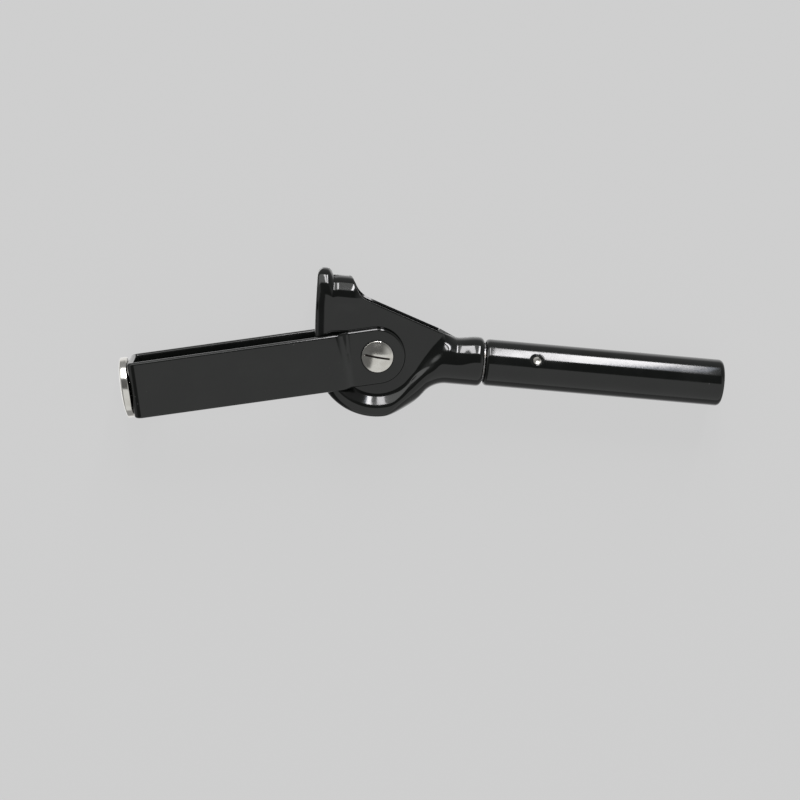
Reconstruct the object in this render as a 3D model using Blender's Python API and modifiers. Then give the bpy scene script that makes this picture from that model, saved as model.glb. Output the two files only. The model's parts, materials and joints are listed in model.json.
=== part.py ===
"""A hand lever with a hinged strap.

A tubular handle carries a hollow knuckle pressed from two steel cheeks. A flat bar bent to a U hinges on
the knuckle about one slotted pivot screw, and a round button is bolted to its closed end. The lever lies
on its side: +X runs along the handle, +Z along the pivot towards the slotted head, and the origin is on
the pivot axis, on the flat face of the plain head.
"""

import math

import bmesh
import bpy
from mathutils import Euler, Matrix, Vector
from mathutils.geometry import interpolate_bezier

MM = 0.001
GAP = 0.3 * MM
ROUND_STEPS = 32
SMALL_STEPS = 20

# Pivot stack: half-depths from the knuckle's middle plane.
SHEET = 2.0 * MM
SEAM = 0.15 * MM
SKIRT = 1.0 * MM
FLOOR_DEPTH = 6.8 * MM
PIVOT_HOLE = 5.6 * MM
SLEEVE_RADIUS = 3.6 * MM
SLEEVE_BORE = 2.8 * MM
SHANK_RADIUS = 2.5 * MM
HEAD_RADIUS = 7.05 * MM
HEAD_HEIGHT = 2.15 * MM
HEAD_EDGE = 0.45 * MM
HEAD_DOME = 1.5 * MM
SLOT_LENGTH = 12.6 * MM
SLOT_WIDTH = 0.75 * MM
SLOT_DEPTH = 1.15 * MM
SLOT_TURN = math.radians(-5.0)
BUSH_FLANGE = 0.45 * MM
BUSH_FLANGE_RADIUS = 9.0 * MM
HEAD_WASHER = 0.5 * MM
HEAD_WASHER_RADIUS = 7.5 * MM
STACK_PLAY = 0.25 * MM
SPACER_RADIUS = 7.0 * MM
SCREW_FLOOR = 2.0 * MM

# Strap: a flat bar, in its own frame with +X from the pivot to the closed end.
STRAP_WIDTH = 25.4 * MM
STRAP_THICKNESS = 3.0 * MM
STRAP_REACH = 111.4 * MM
STRAP_DEPTH = 14.4 * MM
STRAP_BEND = 3.7 * MM
STRAP_DROOP = math.radians(13.1)
JOGGLE_START = 11.0 * MM
JOGGLE_END = 17.0 * MM
EYE_HOLE = 4.0 * MM
EYE_DEPTH = FLOOR_DEPTH + BUSH_FLANGE + 2 * STACK_PLAY + STRAP_THICKNESS

HEAD_SEAT = EYE_DEPTH + STACK_PLAY + HEAD_WASHER + STACK_PLAY
MID_Z = HEAD_SEAT + HEAD_HEIGHT

# Button bolted to the strap's closed end.
BUTTON_RADIUS = 13.65 * MM
BUTTON_EDGE = 2.9 * MM
BUTTON_DOME = 1.8 * MM
BUTTON_CHAMFER = 0.5 * MM
STUD_RADIUS = 3.0 * MM
STUD_HOLE = 3.4 * MM
STUD_LENGTH = 12.6 * MM
END_WASHER_RADIUS = 7.0 * MM
END_WASHER = 1.2 * MM
LOCK_WASHER_RADIUS = 5.6 * MM
LOCK_WASHER = 1.4 * MM
LOCK_WASHER_SLIT = 1.0 * MM
LOCK_WASHER_SKEW = 0.35
NUT_ACROSS_FLATS = 10.0 * MM
NUT_HEIGHT = 5.0 * MM
NUT_CHAMFER = 0.4 * MM

# Knuckle outline, seen along the pivot.
RING_RADIUS = 28.1 * MM
RING_TO = math.radians(-145.0)
THROAT_RADIUS = 12.0 * MM
WAIST = Vector((-28.4 * MM, 3.0 * MM))
BEAK_CENTRE = Vector((-26.1 * MM, 33.0 * MM))
BEAK_RADIUS = 3.65 * MM
BEAK_DIP_RADIUS = 6.0 * MM
BEAK_TOP = 33.8 * MM
BEAK_CORNER_X = -14.4 * MM
SLOT_CORNER = Vector((-9.5 * MM, 25.2 * MM))
SLANT_SLOPE = -0.335
TOP_FILLET = 2.2 * MM
SLOT_FILLET = 9.0 * MM
COLLAR_FILLET = 8.0 * MM

# How far the two bends of the beak's side hold the direction of what they join, and their lengths.
RING_PULL = 5.0 * MM
WAIST_DROP = Vector((-0.3 * MM, 6.7 * MM))
WAIST_LIFT = Vector((-0.5 * MM, 7.0 * MM))
BEAK_PULL = Vector((0.0, 13.0 * MM))
LOWER_SIDE = 20.0 * MM
UPPER_SIDE = 31.0 * MM

# Knuckle relief: a raised rim round a recess, running into the round collar.
RIM_RISE = 3.0 * MM
RIM_FADE = 14.0 * MM
COLLAR_RADIUS = 11.2 * MM
COLLAR_START = 36.0 * MM
COLLAR_END = 48.2 * MM
COLLAR_LIP = 1.0 * MM
WALL_CORNER = Vector((22.0 * MM, 0.0))
WALL_NORMAL = Vector((0.88, -0.475))
WALL_RUN = 6.9 * MM
RING_OFFSETS = [offset * MM for offset in (0.0, 0.6, 1.5, 2.8, 4.4, 6.6, 9.2, 12.0, 15.0, 17.5, 20.0, 23.0)]
HUB_RADIUS = 9.4 * MM
OUTLINE_STEP = 4.2 * MM
LEAST_LEAN = 0.85  # keeps neighbouring rays in step where they run along the edge

# Handle.
TUBE_RADIUS = 10.65 * MM
TUBE_WALL = 2.0 * MM
TUBE_START = 48.8 * MM
TUBE_END = 158.0 * MM
TUBE_LIP = 1.4 * MM
SPIGOT_START = 36.2 * MM
SPIGOT_END = 92.0 * MM
SPIGOT_COLLAR_RADIUS = 8.8 * MM
SPIGOT_TUBE_RADIUS = 8.3 * MM
SPIGOT_WALL = 2.0 * MM
SPIGOT_CHAMFER = 0.6 * MM
SPIGOT_STEP = 0.4 * MM
PIN_X = 72.0 * MM
PIN_TURN = math.radians(24.5)
PIN_RADIUS = 1.6 * MM
PIN_HOLE = 1.9 * MM
PIN_HALF_LENGTH = 10.0 * MM
PIN_CHAMFER = 0.3 * MM
PLUG_LENGTH = 12.0 * MM
PLUG_RADIUS = 8.3 * MM
PLUG_DOME = 0.8 * MM
PLUG_INSET = 0.3 * MM


def clear_scene():
    for old in list(bpy.data.objects):
        bpy.data.objects.remove(old, do_unlink=True)


def new_collection(name):
    group = bpy.data.collections.new(name)
    bpy.context.scene.collection.children.link(group)
    return group


def new_material(name, colour, roughness, metallic):
    material = bpy.data.materials.new(name)
    material.use_nodes = True
    shader = material.node_tree.nodes["Principled BSDF"]
    shader.inputs["Base Color"].default_value = (*colour, 1.0)
    shader.inputs["Roughness"].default_value = roughness
    shader.inputs["Metallic"].default_value = metallic
    return material


clear_scene()
PARTS = new_collection("strap_lever")
CUTTERS = new_collection("cutters")

ENAMEL = (0.012, 0.012, 0.013)
NICKEL = (0.72, 0.70, 0.66)
STEEL = (0.42, 0.42, 0.43)
BRONZE = (0.50, 0.33, 0.16)
FIBRE = (0.02, 0.02, 0.02)

PIVOT = bpy.data.objects.new("pivot", None)
PIVOT.location = (0.0, 0.0, MID_Z)
PARTS.objects.link(PIVOT)

STRAP_HINGE = bpy.data.objects.new("strap_hinge", None)
STRAP_HINGE.location = (0.0, 0.0, MID_Z)
STRAP_HINGE.rotation_euler = (0.0, 0.0, math.pi + STRAP_DROOP)
PARTS.objects.link(STRAP_HINGE)

ALONG_X = Euler((0.0, math.radians(90.0), 0.0))


def place(name, mesh, parent, finish):
    """Links a mesh as a named sub-part under its parent, with a material of its own."""
    piece = bpy.data.objects.new(name, mesh)
    piece.parent = parent
    PARTS.objects.link(piece)
    mesh.materials.append(new_material(name, *finish))
    return piece


def mesh_from(name, points, faces):
    mesh = bpy.data.meshes.new(name)
    mesh.from_pydata([tuple(point) for point in points], [], faces)
    return mesh


def shade(mesh, degrees=35.0):
    mesh.shade_smooth()
    mesh.set_sharp_from_angle(angle=math.radians(degrees))


def turned(name, profile, parent, finish, steps=ROUND_STEPS, closed=False):
    """Turns a profile of (radius, height) about local Z; its outer side runs from the top down."""
    points = [(radius, 0.0, height) for radius, height in profile]
    edges = [(i, i + 1) for i in range(len(points) - 1)]
    if closed:
        edges.append((len(points) - 1, 0))
    mesh = bpy.data.meshes.new(name)
    mesh.from_pydata(points, edges, [])
    piece = place(name, mesh, parent, finish)
    screw = piece.modifiers.new("turn", "SCREW")
    screw.steps = steps
    screw.render_steps = steps
    screw.use_merge_vertices = True
    screw.merge_threshold = 0.00001
    screw.use_smooth_shade = True
    return piece


def ring_profile(outer, inner, low, high):
    """The closed section of a plain ring."""
    return [(outer, high), (outer, low), (inner, low), (inner, high)]


def round_cutter(name, radius, length, parent, rotation=(0.0, 0.0, 0.0), location=(0.0, 0.0, 0.0)):
    """A cylinder about local Z, turned half a facet so that no corner falls on a rib of the piece."""
    body = bmesh.new()
    half_facet = Matrix.Rotation(math.pi / SMALL_STEPS, 4, "Z")
    bmesh.ops.create_cone(
        body,
        cap_ends=True,
        segments=SMALL_STEPS,
        radius1=radius,
        radius2=radius,
        depth=length,
        matrix=half_facet,
    )
    return cutter_object(name, body, parent, rotation, location)


def box_cutter(name, size, parent, rotation=(0.0, 0.0, 0.0), location=(0.0, 0.0, 0.0)):
    body = bmesh.new()
    bmesh.ops.create_cube(body, size=1.0, matrix=Matrix.Diagonal((*size, 1.0)))
    return cutter_object(name, body, parent, rotation, location)


def cutter_object(name, body, parent, rotation, location):
    mesh = bpy.data.meshes.new(name)
    body.to_mesh(mesh)
    body.free()
    cutter = bpy.data.objects.new(name, mesh)
    cutter.parent = parent
    cutter.rotation_euler = rotation
    cutter.location = location
    cutter.hide_render = True
    cutter.display_type = "WIRE"
    CUTTERS.objects.link(cutter)
    return cutter


def cut(piece, cutter, solver="EXACT"):
    boolean = piece.modifiers.new(cutter.name, "BOOLEAN")
    boolean.operation = "DIFFERENCE"
    boolean.solver = solver
    boolean.object = cutter


def smooth_step(value):
    value = min(1.0, max(0.0, value))
    return value * value * (3.0 - 2.0 * value)


def arc(centre, radius, start, end, step):
    """Points of an arc in order, without its last one."""
    count = max(2, round(abs(end - start) * radius / step))
    turn = (end - start) / count
    return [
        centre + radius * Vector((math.cos(start + i * turn), math.sin(start + i * turn)))
        for i in range(count)
    ]


def line(start, end, step):
    count = max(1, round((end - start).length / step))
    return [start.lerp(end, i / count) for i in range(count)]


def corner(before, point, after, radius, step):
    """The fillet arc that rounds a corner."""
    towards = (before - point).normalized()
    away = (after - point).normalized()
    half = towards.angle(away) / 2.0
    centre = point + (towards + away).normalized() * radius / math.sin(half)
    first = point + towards * radius / math.tan(half) - centre
    last = point + away * radius / math.tan(half) - centre
    start = math.atan2(first.y, first.x)
    sweep = (math.atan2(last.y, last.x) - start + math.pi) % (2.0 * math.pi) - math.pi
    return arc(centre, radius, start, start + sweep, step)


def slant_y(x):
    """Height of the slanted slot edge."""
    return SLOT_CORNER.y + SLANT_SLOPE * (x - SLOT_CORNER.x)


def throat_centre():
    """Centre of the hollow arc that touches both the ring and the collar's lower side."""
    reach = RING_RADIUS + THROAT_RADIUS
    y = -COLLAR_RADIUS - THROAT_RADIUS
    return Vector((math.sqrt(reach * reach - y * y), y))


def knuckle_outline(step):
    """The cheek's edge from the collar's lower side round to its upper side, as (point, stretch)."""
    throat = throat_centre()
    throat_end = math.atan2(-throat.y, -throat.x)
    ring_from = math.atan2(throat.y, throat.x)
    lower_collar = Vector((COLLAR_START, -COLLAR_RADIUS))
    runs = [("throat", line(lower_collar, throat + Vector((0, THROAT_RADIUS)), step))]
    runs.append(("throat", arc(throat, THROAT_RADIUS, math.pi / 2.0, throat_end, step)))
    runs.append(("ring", arc(Vector((0, 0)), RING_RADIUS, ring_from, RING_TO, step)))

    ring_end = RING_RADIUS * Vector((math.cos(RING_TO), math.sin(RING_TO)))
    ring_way = Vector((math.sin(RING_TO), -math.cos(RING_TO)))
    beak_side = BEAK_CENTRE - Vector((BEAK_RADIUS, 0))
    lower = (ring_end, ring_end + RING_PULL * ring_way, WAIST - WAIST_DROP, WAIST)
    upper = (WAIST, WAIST + WAIST_LIFT, beak_side - BEAK_PULL, beak_side)
    for ends, reach in ((lower, LOWER_SIDE), (upper, UPPER_SIDE)):
        curve = interpolate_bezier(*[point.to_3d() for point in ends], max(3, round(reach / step)) + 1)
        runs.append(("side", [point.to_2d() for point in curve[:-1]]))

    dip_y = BEAK_TOP + BEAK_DIP_RADIUS
    rise = dip_y - BEAK_CENTRE.y
    dip = Vector((BEAK_CENTRE.x + math.sqrt((BEAK_RADIUS + BEAK_DIP_RADIUS) ** 2 - rise**2), dip_y))
    turn = math.atan2(dip.y - BEAK_CENTRE.y, dip.x - BEAK_CENTRE.x)
    runs.append(("beak", arc(BEAK_CENTRE, BEAK_RADIUS, math.pi, turn, step * 0.55)))
    runs.append(("shoulder", arc(dip, BEAK_DIP_RADIUS, math.pi + turn, 1.5 * math.pi, step * 0.7)))

    top_start = Vector((dip.x, BEAK_TOP))
    top_corner = Vector((BEAK_CORNER_X, BEAK_TOP))
    collar_corner_x = SLOT_CORNER.x + (COLLAR_RADIUS - SLOT_CORNER.y) / SLANT_SLOPE
    collar_corner = Vector((collar_corner_x, COLLAR_RADIUS))
    collar_top = Vector((COLLAR_START, COLLAR_RADIUS))
    top_arc = corner(top_start, top_corner, SLOT_CORNER, TOP_FILLET, step * 0.3)
    slot_arc = corner(top_corner, SLOT_CORNER, collar_corner, SLOT_FILLET, step * 0.5)
    collar_arc = corner(SLOT_CORNER, collar_corner, collar_top, COLLAR_FILLET, step * 0.6)
    runs.append(("shoulder", line(top_start, top_arc[0], step)))
    runs.append(("slot", top_arc))
    runs.append(("slot", line(top_arc[-1], slot_arc[0], step * 0.8)[1:]))
    runs.append(("slot", slot_arc))
    runs.append(("slot", line(slot_arc[-1], collar_arc[0], step)[1:]))
    runs.append(("slot", collar_arc))
    return [(point, stretch) for stretch, points in runs for point in points]


def edge_form(point, stretch):
    """Rise of the rim, round-over run and drop, rim width and inner fillet run at one edge point."""
    if stretch in ("throat", "ring"):
        return [RIM_RISE, 2.6 * MM, 2.6 * MM, 4.0 * MM, 5.4 * MM]
    if stretch == "side":
        return [RIM_RISE - 0.2 * MM, 3.3 * MM, 3.3 * MM, 3.4 * MM, 3.6 * MM]
    if stretch == "beak":
        return [RIM_RISE - 0.6 * MM, 4.0 * MM, 5.0 * MM, 4.0 * MM, 3.6 * MM]
    closed = 1.0
    if stretch == "slot":
        closed = 1.0 - smooth_step((point.x - BEAK_CORNER_X) / RIM_FADE)
    return [0.0, (1.0 + 8.0 * closed) * MM, FLOOR_DEPTH * closed, 4.0 * MM, 3.6 * MM]


def softened(forms, passes=4):
    """Averages each edge value with its neighbours, so that one stretch runs into the next."""
    for _ in range(passes):
        padded = [forms[0], *forms, forms[-1]]
        forms = [
            [0.25 * a + 0.5 * b + 0.25 * c for a, b, c in zip(padded[i], padded[i + 1], padded[i + 2])]
            for i in range(len(forms))
        ]
    return forms


def nearest_on_edge(point, points):
    """Distance to the outline, with the segment and the place on it that are nearest."""
    best = (1.0, 0, 0.0)
    for i in range(len(points) - 1):
        way = points[i + 1] - points[i]
        share = min(1.0, max(0.0, (point - points[i]).dot(way) / way.length_squared))
        distance = (points[i] + share * way - point).length
        if distance < best[0]:
            best = (distance, i, share)
    return best


def collar_height(point, throat):
    """Half-depth of the round collar, widened to the outline where the knuckle flares."""
    lower = COLLAR_RADIUS
    if point.x < throat.x:
        span = max(0.0, THROAT_RADIUS**2 - (throat.x - point.x) ** 2)
        lower = -throat.y - math.sqrt(span)
    upper = max(COLLAR_RADIUS, slant_y(point.x))
    half = upper if point.y > 0 else lower
    return COLLAR_RADIUS * math.sqrt(max(0.0, 1.0 - (point.y / half) ** 2))


def cheek_height(point, points, forms, throat):
    """Half-depth of a cheek's outer face at one place."""
    distance, i, share = nearest_on_edge(point, points)
    rise, run, drop, rim, fillet = [a + share * (b - a) for a, b in zip(forms[i], forms[i + 1])]
    lip = rise * (1.0 - smooth_step((distance - rim) / fillet))
    inward = 1.0 - min(1.0, distance / run)
    height = FLOOR_DEPTH + lip - drop * (1.0 - math.sqrt(1.0 - inward * inward))
    blend = smooth_step((point - WALL_CORNER).dot(WALL_NORMAL) / WALL_RUN)
    return max(0.0, height + blend * (collar_height(point, throat) - height))


def cheek_surface():
    """One cheek's outer skin: rings from the outline in to the pivot hole, and the collar strip.

    Its closed edges run down past the middle plane as a skirt, which the seam cutter then trims flat.
    """
    outline = knuckle_outline(OUTLINE_STEP)
    points = [point for point, _ in outline] + [Vector((COLLAR_START, COLLAR_RADIUS))]
    forms = softened([edge_form(point, stretch) for point, stretch in outline])
    forms.append(forms[-1])
    throat = throat_centre()
    open_edge = [stretch == "slot" for _, stretch in outline]

    collar_count = ROUND_STEPS // 2
    angles = [math.pi * i / collar_count for i in range(collar_count + 1)]
    collar_points = [Vector((COLLAR_START, COLLAR_RADIUS * math.cos(angle))) for angle in angles]
    around = points[:-1] + collar_points[:-1]
    open_edge += [False] + [True] * (collar_count - 1)

    vertices = []
    for number, point in enumerate(around):
        ahead = around[(number + 1) % len(around)] - around[number - 1]
        ray = point.normalized()
        lean = max(LEAST_LEAN, abs(ray.cross(ahead.normalized())))
        heights = []
        for offset in RING_OFFSETS:
            place_on_ray = point - ray * min(offset / lean, point.length - HUB_RADIUS)
            heights.append((place_on_ray, cheek_height(place_on_ray, points, forms, throat)))
        wall_foot = heights[0][1] if open_edge[number] else -SKIRT
        vertices.append((*point, wall_foot))
        vertices += [(*place_on_ray, height) for place_on_ray, height in heights]
        vertices.append((*(ray * HUB_RADIUS), FLOOR_DEPTH))
        vertices.append((*(ray * PIVOT_HOLE), FLOOR_DEPTH))

    depth = len(RING_OFFSETS) + 3
    faces = []
    for i in range(len(around)):
        j = (i + 1) % len(around)
        first = 0 if i < len(around) - collar_count else 1
        for ring in range(first, depth - 1):
            faces.append((i * depth + ring, i * depth + ring + 1, j * depth + ring + 1, j * depth + ring))

    rows = [(COLLAR_START, COLLAR_RADIUS), (COLLAR_END - COLLAR_LIP, COLLAR_RADIUS)]
    rows.append((COLLAR_END - 0.3 * COLLAR_LIP, COLLAR_RADIUS - 0.3 * COLLAR_LIP))
    rows.append((COLLAR_END, COLLAR_RADIUS - COLLAR_LIP))
    base = len(vertices)
    for x, radius in rows:
        vertices.append((x, radius, -SKIRT))
        vertices += [(x, radius * math.cos(angle), radius * math.sin(angle)) for angle in angles]
        vertices.append((x, -radius, -SKIRT))
    wide = len(angles) + 2
    for row in range(len(rows) - 1):
        for i in range(wide - 1):
            low = base + row * wide + i
            faces.append((low, low + 1, low + wide + 1, low + wide))
    return vertices, faces


def add_cheek(name, side):
    vertices, faces = cheek_surface()
    if side < 0:
        vertices = [(x, y, -z) for x, y, z in vertices]
        faces = [face[::-1] for face in faces]
    mesh = mesh_from(name, vertices, faces)
    body = bmesh.new()
    body.from_mesh(mesh)
    bmesh.ops.remove_doubles(body, verts=body.verts, dist=0.00002)
    body.to_mesh(mesh)
    body.free()
    shade(mesh, 60.0)
    cheek = place(name, mesh, PIVOT, (ENAMEL, 0.18, 0.0))
    solid = cheek.modifiers.new("sheet", "SOLIDIFY")
    solid.thickness = SHEET
    solid.offset = -1.0
    seam_size = (0.2, 0.2, 10.0 * SHEET)
    seam_place = (0.0, 0.0, side * (SEAM - 5.0 * SHEET))
    seam = box_cutter(f"{name}_seam_cutter", seam_size, PIVOT, (0.0, 0.0, 0.0), seam_place)
    cut(cheek, seam, "MANIFOLD")


def strap_section(detail):
    """The near leg's outer face and half the closed end, as (x, z, half width)."""
    half = STRAP_WIDTH / 2.0
    section = []
    for i in range(detail + 1):
        angle = math.pi / 2.0 * i / detail
        section.append((-half * math.cos(angle), EYE_DEPTH, half * math.sin(angle)))
    for i in range(5):
        share = i / 4.0
        x = JOGGLE_START + share * (JOGGLE_END - JOGGLE_START)
        section.append((x, EYE_DEPTH + smooth_step(share) * (STRAP_DEPTH - EYE_DEPTH), half))
    for i in range(5):
        angle = math.pi / 2.0 * i / 4.0
        x = STRAP_REACH - STRAP_BEND * (1.0 - math.sin(angle))
        section.append((x, STRAP_DEPTH - STRAP_BEND * (1.0 - math.cos(angle)), half))
    return section


def add_strap():
    near = strap_section(8)
    section = near + [(x, -z, half) for x, z, half in reversed(near)]
    vertices = []
    for x, z, half in section:
        vertices += [(x, half, z), (x, -half, z)]
    faces = [(2 * i, 2 * i + 1, 2 * i + 3, 2 * i + 2) for i in range(len(section) - 1)]
    mesh = mesh_from("strap_yoke", vertices, faces)
    body = bmesh.new()
    body.from_mesh(mesh)
    bmesh.ops.remove_doubles(body, verts=body.verts, dist=0.00002)
    body.to_mesh(mesh)
    body.free()
    shade(mesh)
    strap = place("strap_yoke", mesh, STRAP_HINGE, (ENAMEL, 0.25, 0.0))
    solid = strap.modifiers.new("bar", "SOLIDIFY")
    solid.thickness = STRAP_THICKNESS
    solid.offset = -1.0
    solid.use_even_offset = True
    cut(strap, round_cutter("eye_cutter", EYE_HOLE, 4.0 * STRAP_DEPTH, STRAP_HINGE))
    stud_place = (STRAP_REACH, 0.0, 0.0)
    cut(strap, round_cutter("stud_cutter", STUD_HOLE, 12.0 * MM, STRAP_HINGE, ALONG_X, stud_place))


def add_pivot():
    """Slotted screw, plain-headed sleeve, flanged bushes, spacer and head washers."""
    top = HEAD_SEAT + HEAD_HEIGHT
    screw_foot = -HEAD_SEAT + SCREW_FLOOR
    dome = [(share * HEAD_RADIUS, top - HEAD_DOME * share**2) for share in (0.0, 0.35, 0.65, 0.9)]
    screw = turned(
        "pivot_screw",
        [
            *dome,
            (HEAD_RADIUS, top - HEAD_DOME),
            (HEAD_RADIUS, HEAD_SEAT),
            (SHANK_RADIUS, HEAD_SEAT),
            (SHANK_RADIUS, screw_foot),
            (0.0, screw_foot),
        ],
        PIVOT,
        (NICKEL, 0.2, 1.0),
    )
    slot_place = (0.0, 0.0, top)
    slot_size = (SLOT_LENGTH, SLOT_WIDTH, 2.0 * SLOT_DEPTH)
    cut(screw, box_cutter("slot_cutter", slot_size, PIVOT, (0.0, 0.0, SLOT_TURN), slot_place))

    turned(
        "pivot_sleeve",
        [
            (0.0, screw_foot - GAP),
            (SLEEVE_BORE, screw_foot - GAP),
            (SLEEVE_BORE, HEAD_SEAT - GAP),
            (SLEEVE_RADIUS, HEAD_SEAT - GAP),
            (SLEEVE_RADIUS, -HEAD_SEAT),
            (HEAD_RADIUS, -HEAD_SEAT),
            (HEAD_RADIUS, HEAD_EDGE - top),
            (HEAD_RADIUS - HEAD_EDGE, -top),
            (0.0, -top),
        ],
        PIVOT,
        (NICKEL, 0.25, 1.0),
    )
    spacer_half = FLOOR_DEPTH - SHEET - GAP
    bore = SLEEVE_RADIUS + GAP
    turned(
        "spacer_bush",
        ring_profile(SPACER_RADIUS, bore, -spacer_half, spacer_half),
        PIVOT,
        (STEEL, 0.4, 1.0),
        SMALL_STEPS,
        closed=True,
    )
    flange = FLOOR_DEPTH + STACK_PLAY
    washer = EYE_DEPTH + STACK_PLAY
    for prefix, side in (("near", 1), ("far", -1)):
        bush = [
            (BUSH_FLANGE_RADIUS, flange + BUSH_FLANGE),
            (BUSH_FLANGE_RADIUS, flange),
            (PIVOT_HOLE - GAP, flange),
            (PIVOT_HOLE - GAP, FLOOR_DEPTH - SHEET),
            (bore, FLOOR_DEPTH - SHEET),
            (bore, flange + BUSH_FLANGE),
        ]
        head_washer = ring_profile(HEAD_WASHER_RADIUS, bore, washer, washer + HEAD_WASHER)
        if side < 0:
            bush = [(radius, -height) for radius, height in reversed(bush)]
            head_washer = [(radius, -height) for radius, height in reversed(head_washer)]
        turned(f"{prefix}_flange_bush", bush, PIVOT, (BRONZE, 0.4, 1.0), SMALL_STEPS, closed=True)
        turned(f"{prefix}_head_washer", head_washer, PIVOT, (FIBRE, 0.6, 0.0), SMALL_STEPS, closed=True)


def add_end_button():
    """Round button with its stud through the strap's closed end, washer, lock washer and nut."""
    seat = STRAP_REACH + GAP
    face = seat + BUTTON_EDGE
    dome = [
        (BUTTON_RADIUS * math.cos(angle), face + BUTTON_DOME * math.sin(angle))
        for angle in [math.radians(degrees) for degrees in (90, 68, 48, 30, 14, 0)]
    ]
    tip = seat - STUD_LENGTH
    button = turned(
        "end_button",
        [
            *dome,
            (BUTTON_RADIUS, seat + BUTTON_CHAMFER),
            (BUTTON_RADIUS - BUTTON_CHAMFER, seat),
            (STUD_RADIUS, seat),
            (STUD_RADIUS, tip),
            (0.0, tip),
        ],
        STRAP_HINGE,
        (NICKEL, 0.22, 1.0),
    )
    button.rotation_euler = ALONG_X

    inner_face = STRAP_REACH - STRAP_THICKNESS
    washer_low = inner_face - GAP - END_WASHER
    washer = turned(
        "end_washer",
        ring_profile(END_WASHER_RADIUS, STUD_RADIUS + GAP, washer_low, washer_low + END_WASHER),
        STRAP_HINGE,
        (STEEL, 0.35, 1.0),
        SMALL_STEPS,
        closed=True,
    )
    washer.rotation_euler = ALONG_X

    lock_low = washer_low - GAP - LOCK_WASHER
    lock = turned(
        "end_lock_washer",
        ring_profile(LOCK_WASHER_RADIUS, STUD_RADIUS + GAP, lock_low, lock_low + LOCK_WASHER),
        STRAP_HINGE,
        (STEEL, 0.35, 1.0),
        SMALL_STEPS,
        closed=True,
    )
    lock.rotation_euler = ALONG_X
    slit_place = (lock_low, 0.0, LOCK_WASHER_RADIUS)
    slit_size = (4.0 * LOCK_WASHER, LOCK_WASHER_SLIT, 2.0 * (LOCK_WASHER_RADIUS - STUD_RADIUS) + GAP)
    cut(lock, box_cutter("slit_cutter", slit_size, STRAP_HINGE, (LOCK_WASHER_SKEW, 0.0, 0.0), slit_place))

    body = bmesh.new()
    nut_radius = NUT_ACROSS_FLATS / 2.0 / math.cos(math.radians(30.0))
    bmesh.ops.create_cone(
        body, cap_ends=True, segments=6, radius1=nut_radius, radius2=nut_radius, depth=NUT_HEIGHT
    )
    mesh = bpy.data.meshes.new("end_nut")
    body.to_mesh(mesh)
    body.free()
    nut = place("end_nut", mesh, STRAP_HINGE, (STEEL, 0.35, 1.0))
    nut.rotation_euler = ALONG_X
    nut.location = (lock_low - GAP - NUT_HEIGHT / 2.0, 0.0, 0.0)
    bevel = nut.modifiers.new("chamfer", "BEVEL")
    bevel.width = NUT_CHAMFER
    bevel.segments = 1
    hole_radius = STUD_RADIUS + GAP
    cut(nut, round_cutter("nut_cutter", hole_radius, 4.0 * NUT_HEIGHT, STRAP_HINGE, ALONG_X, nut.location))


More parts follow.
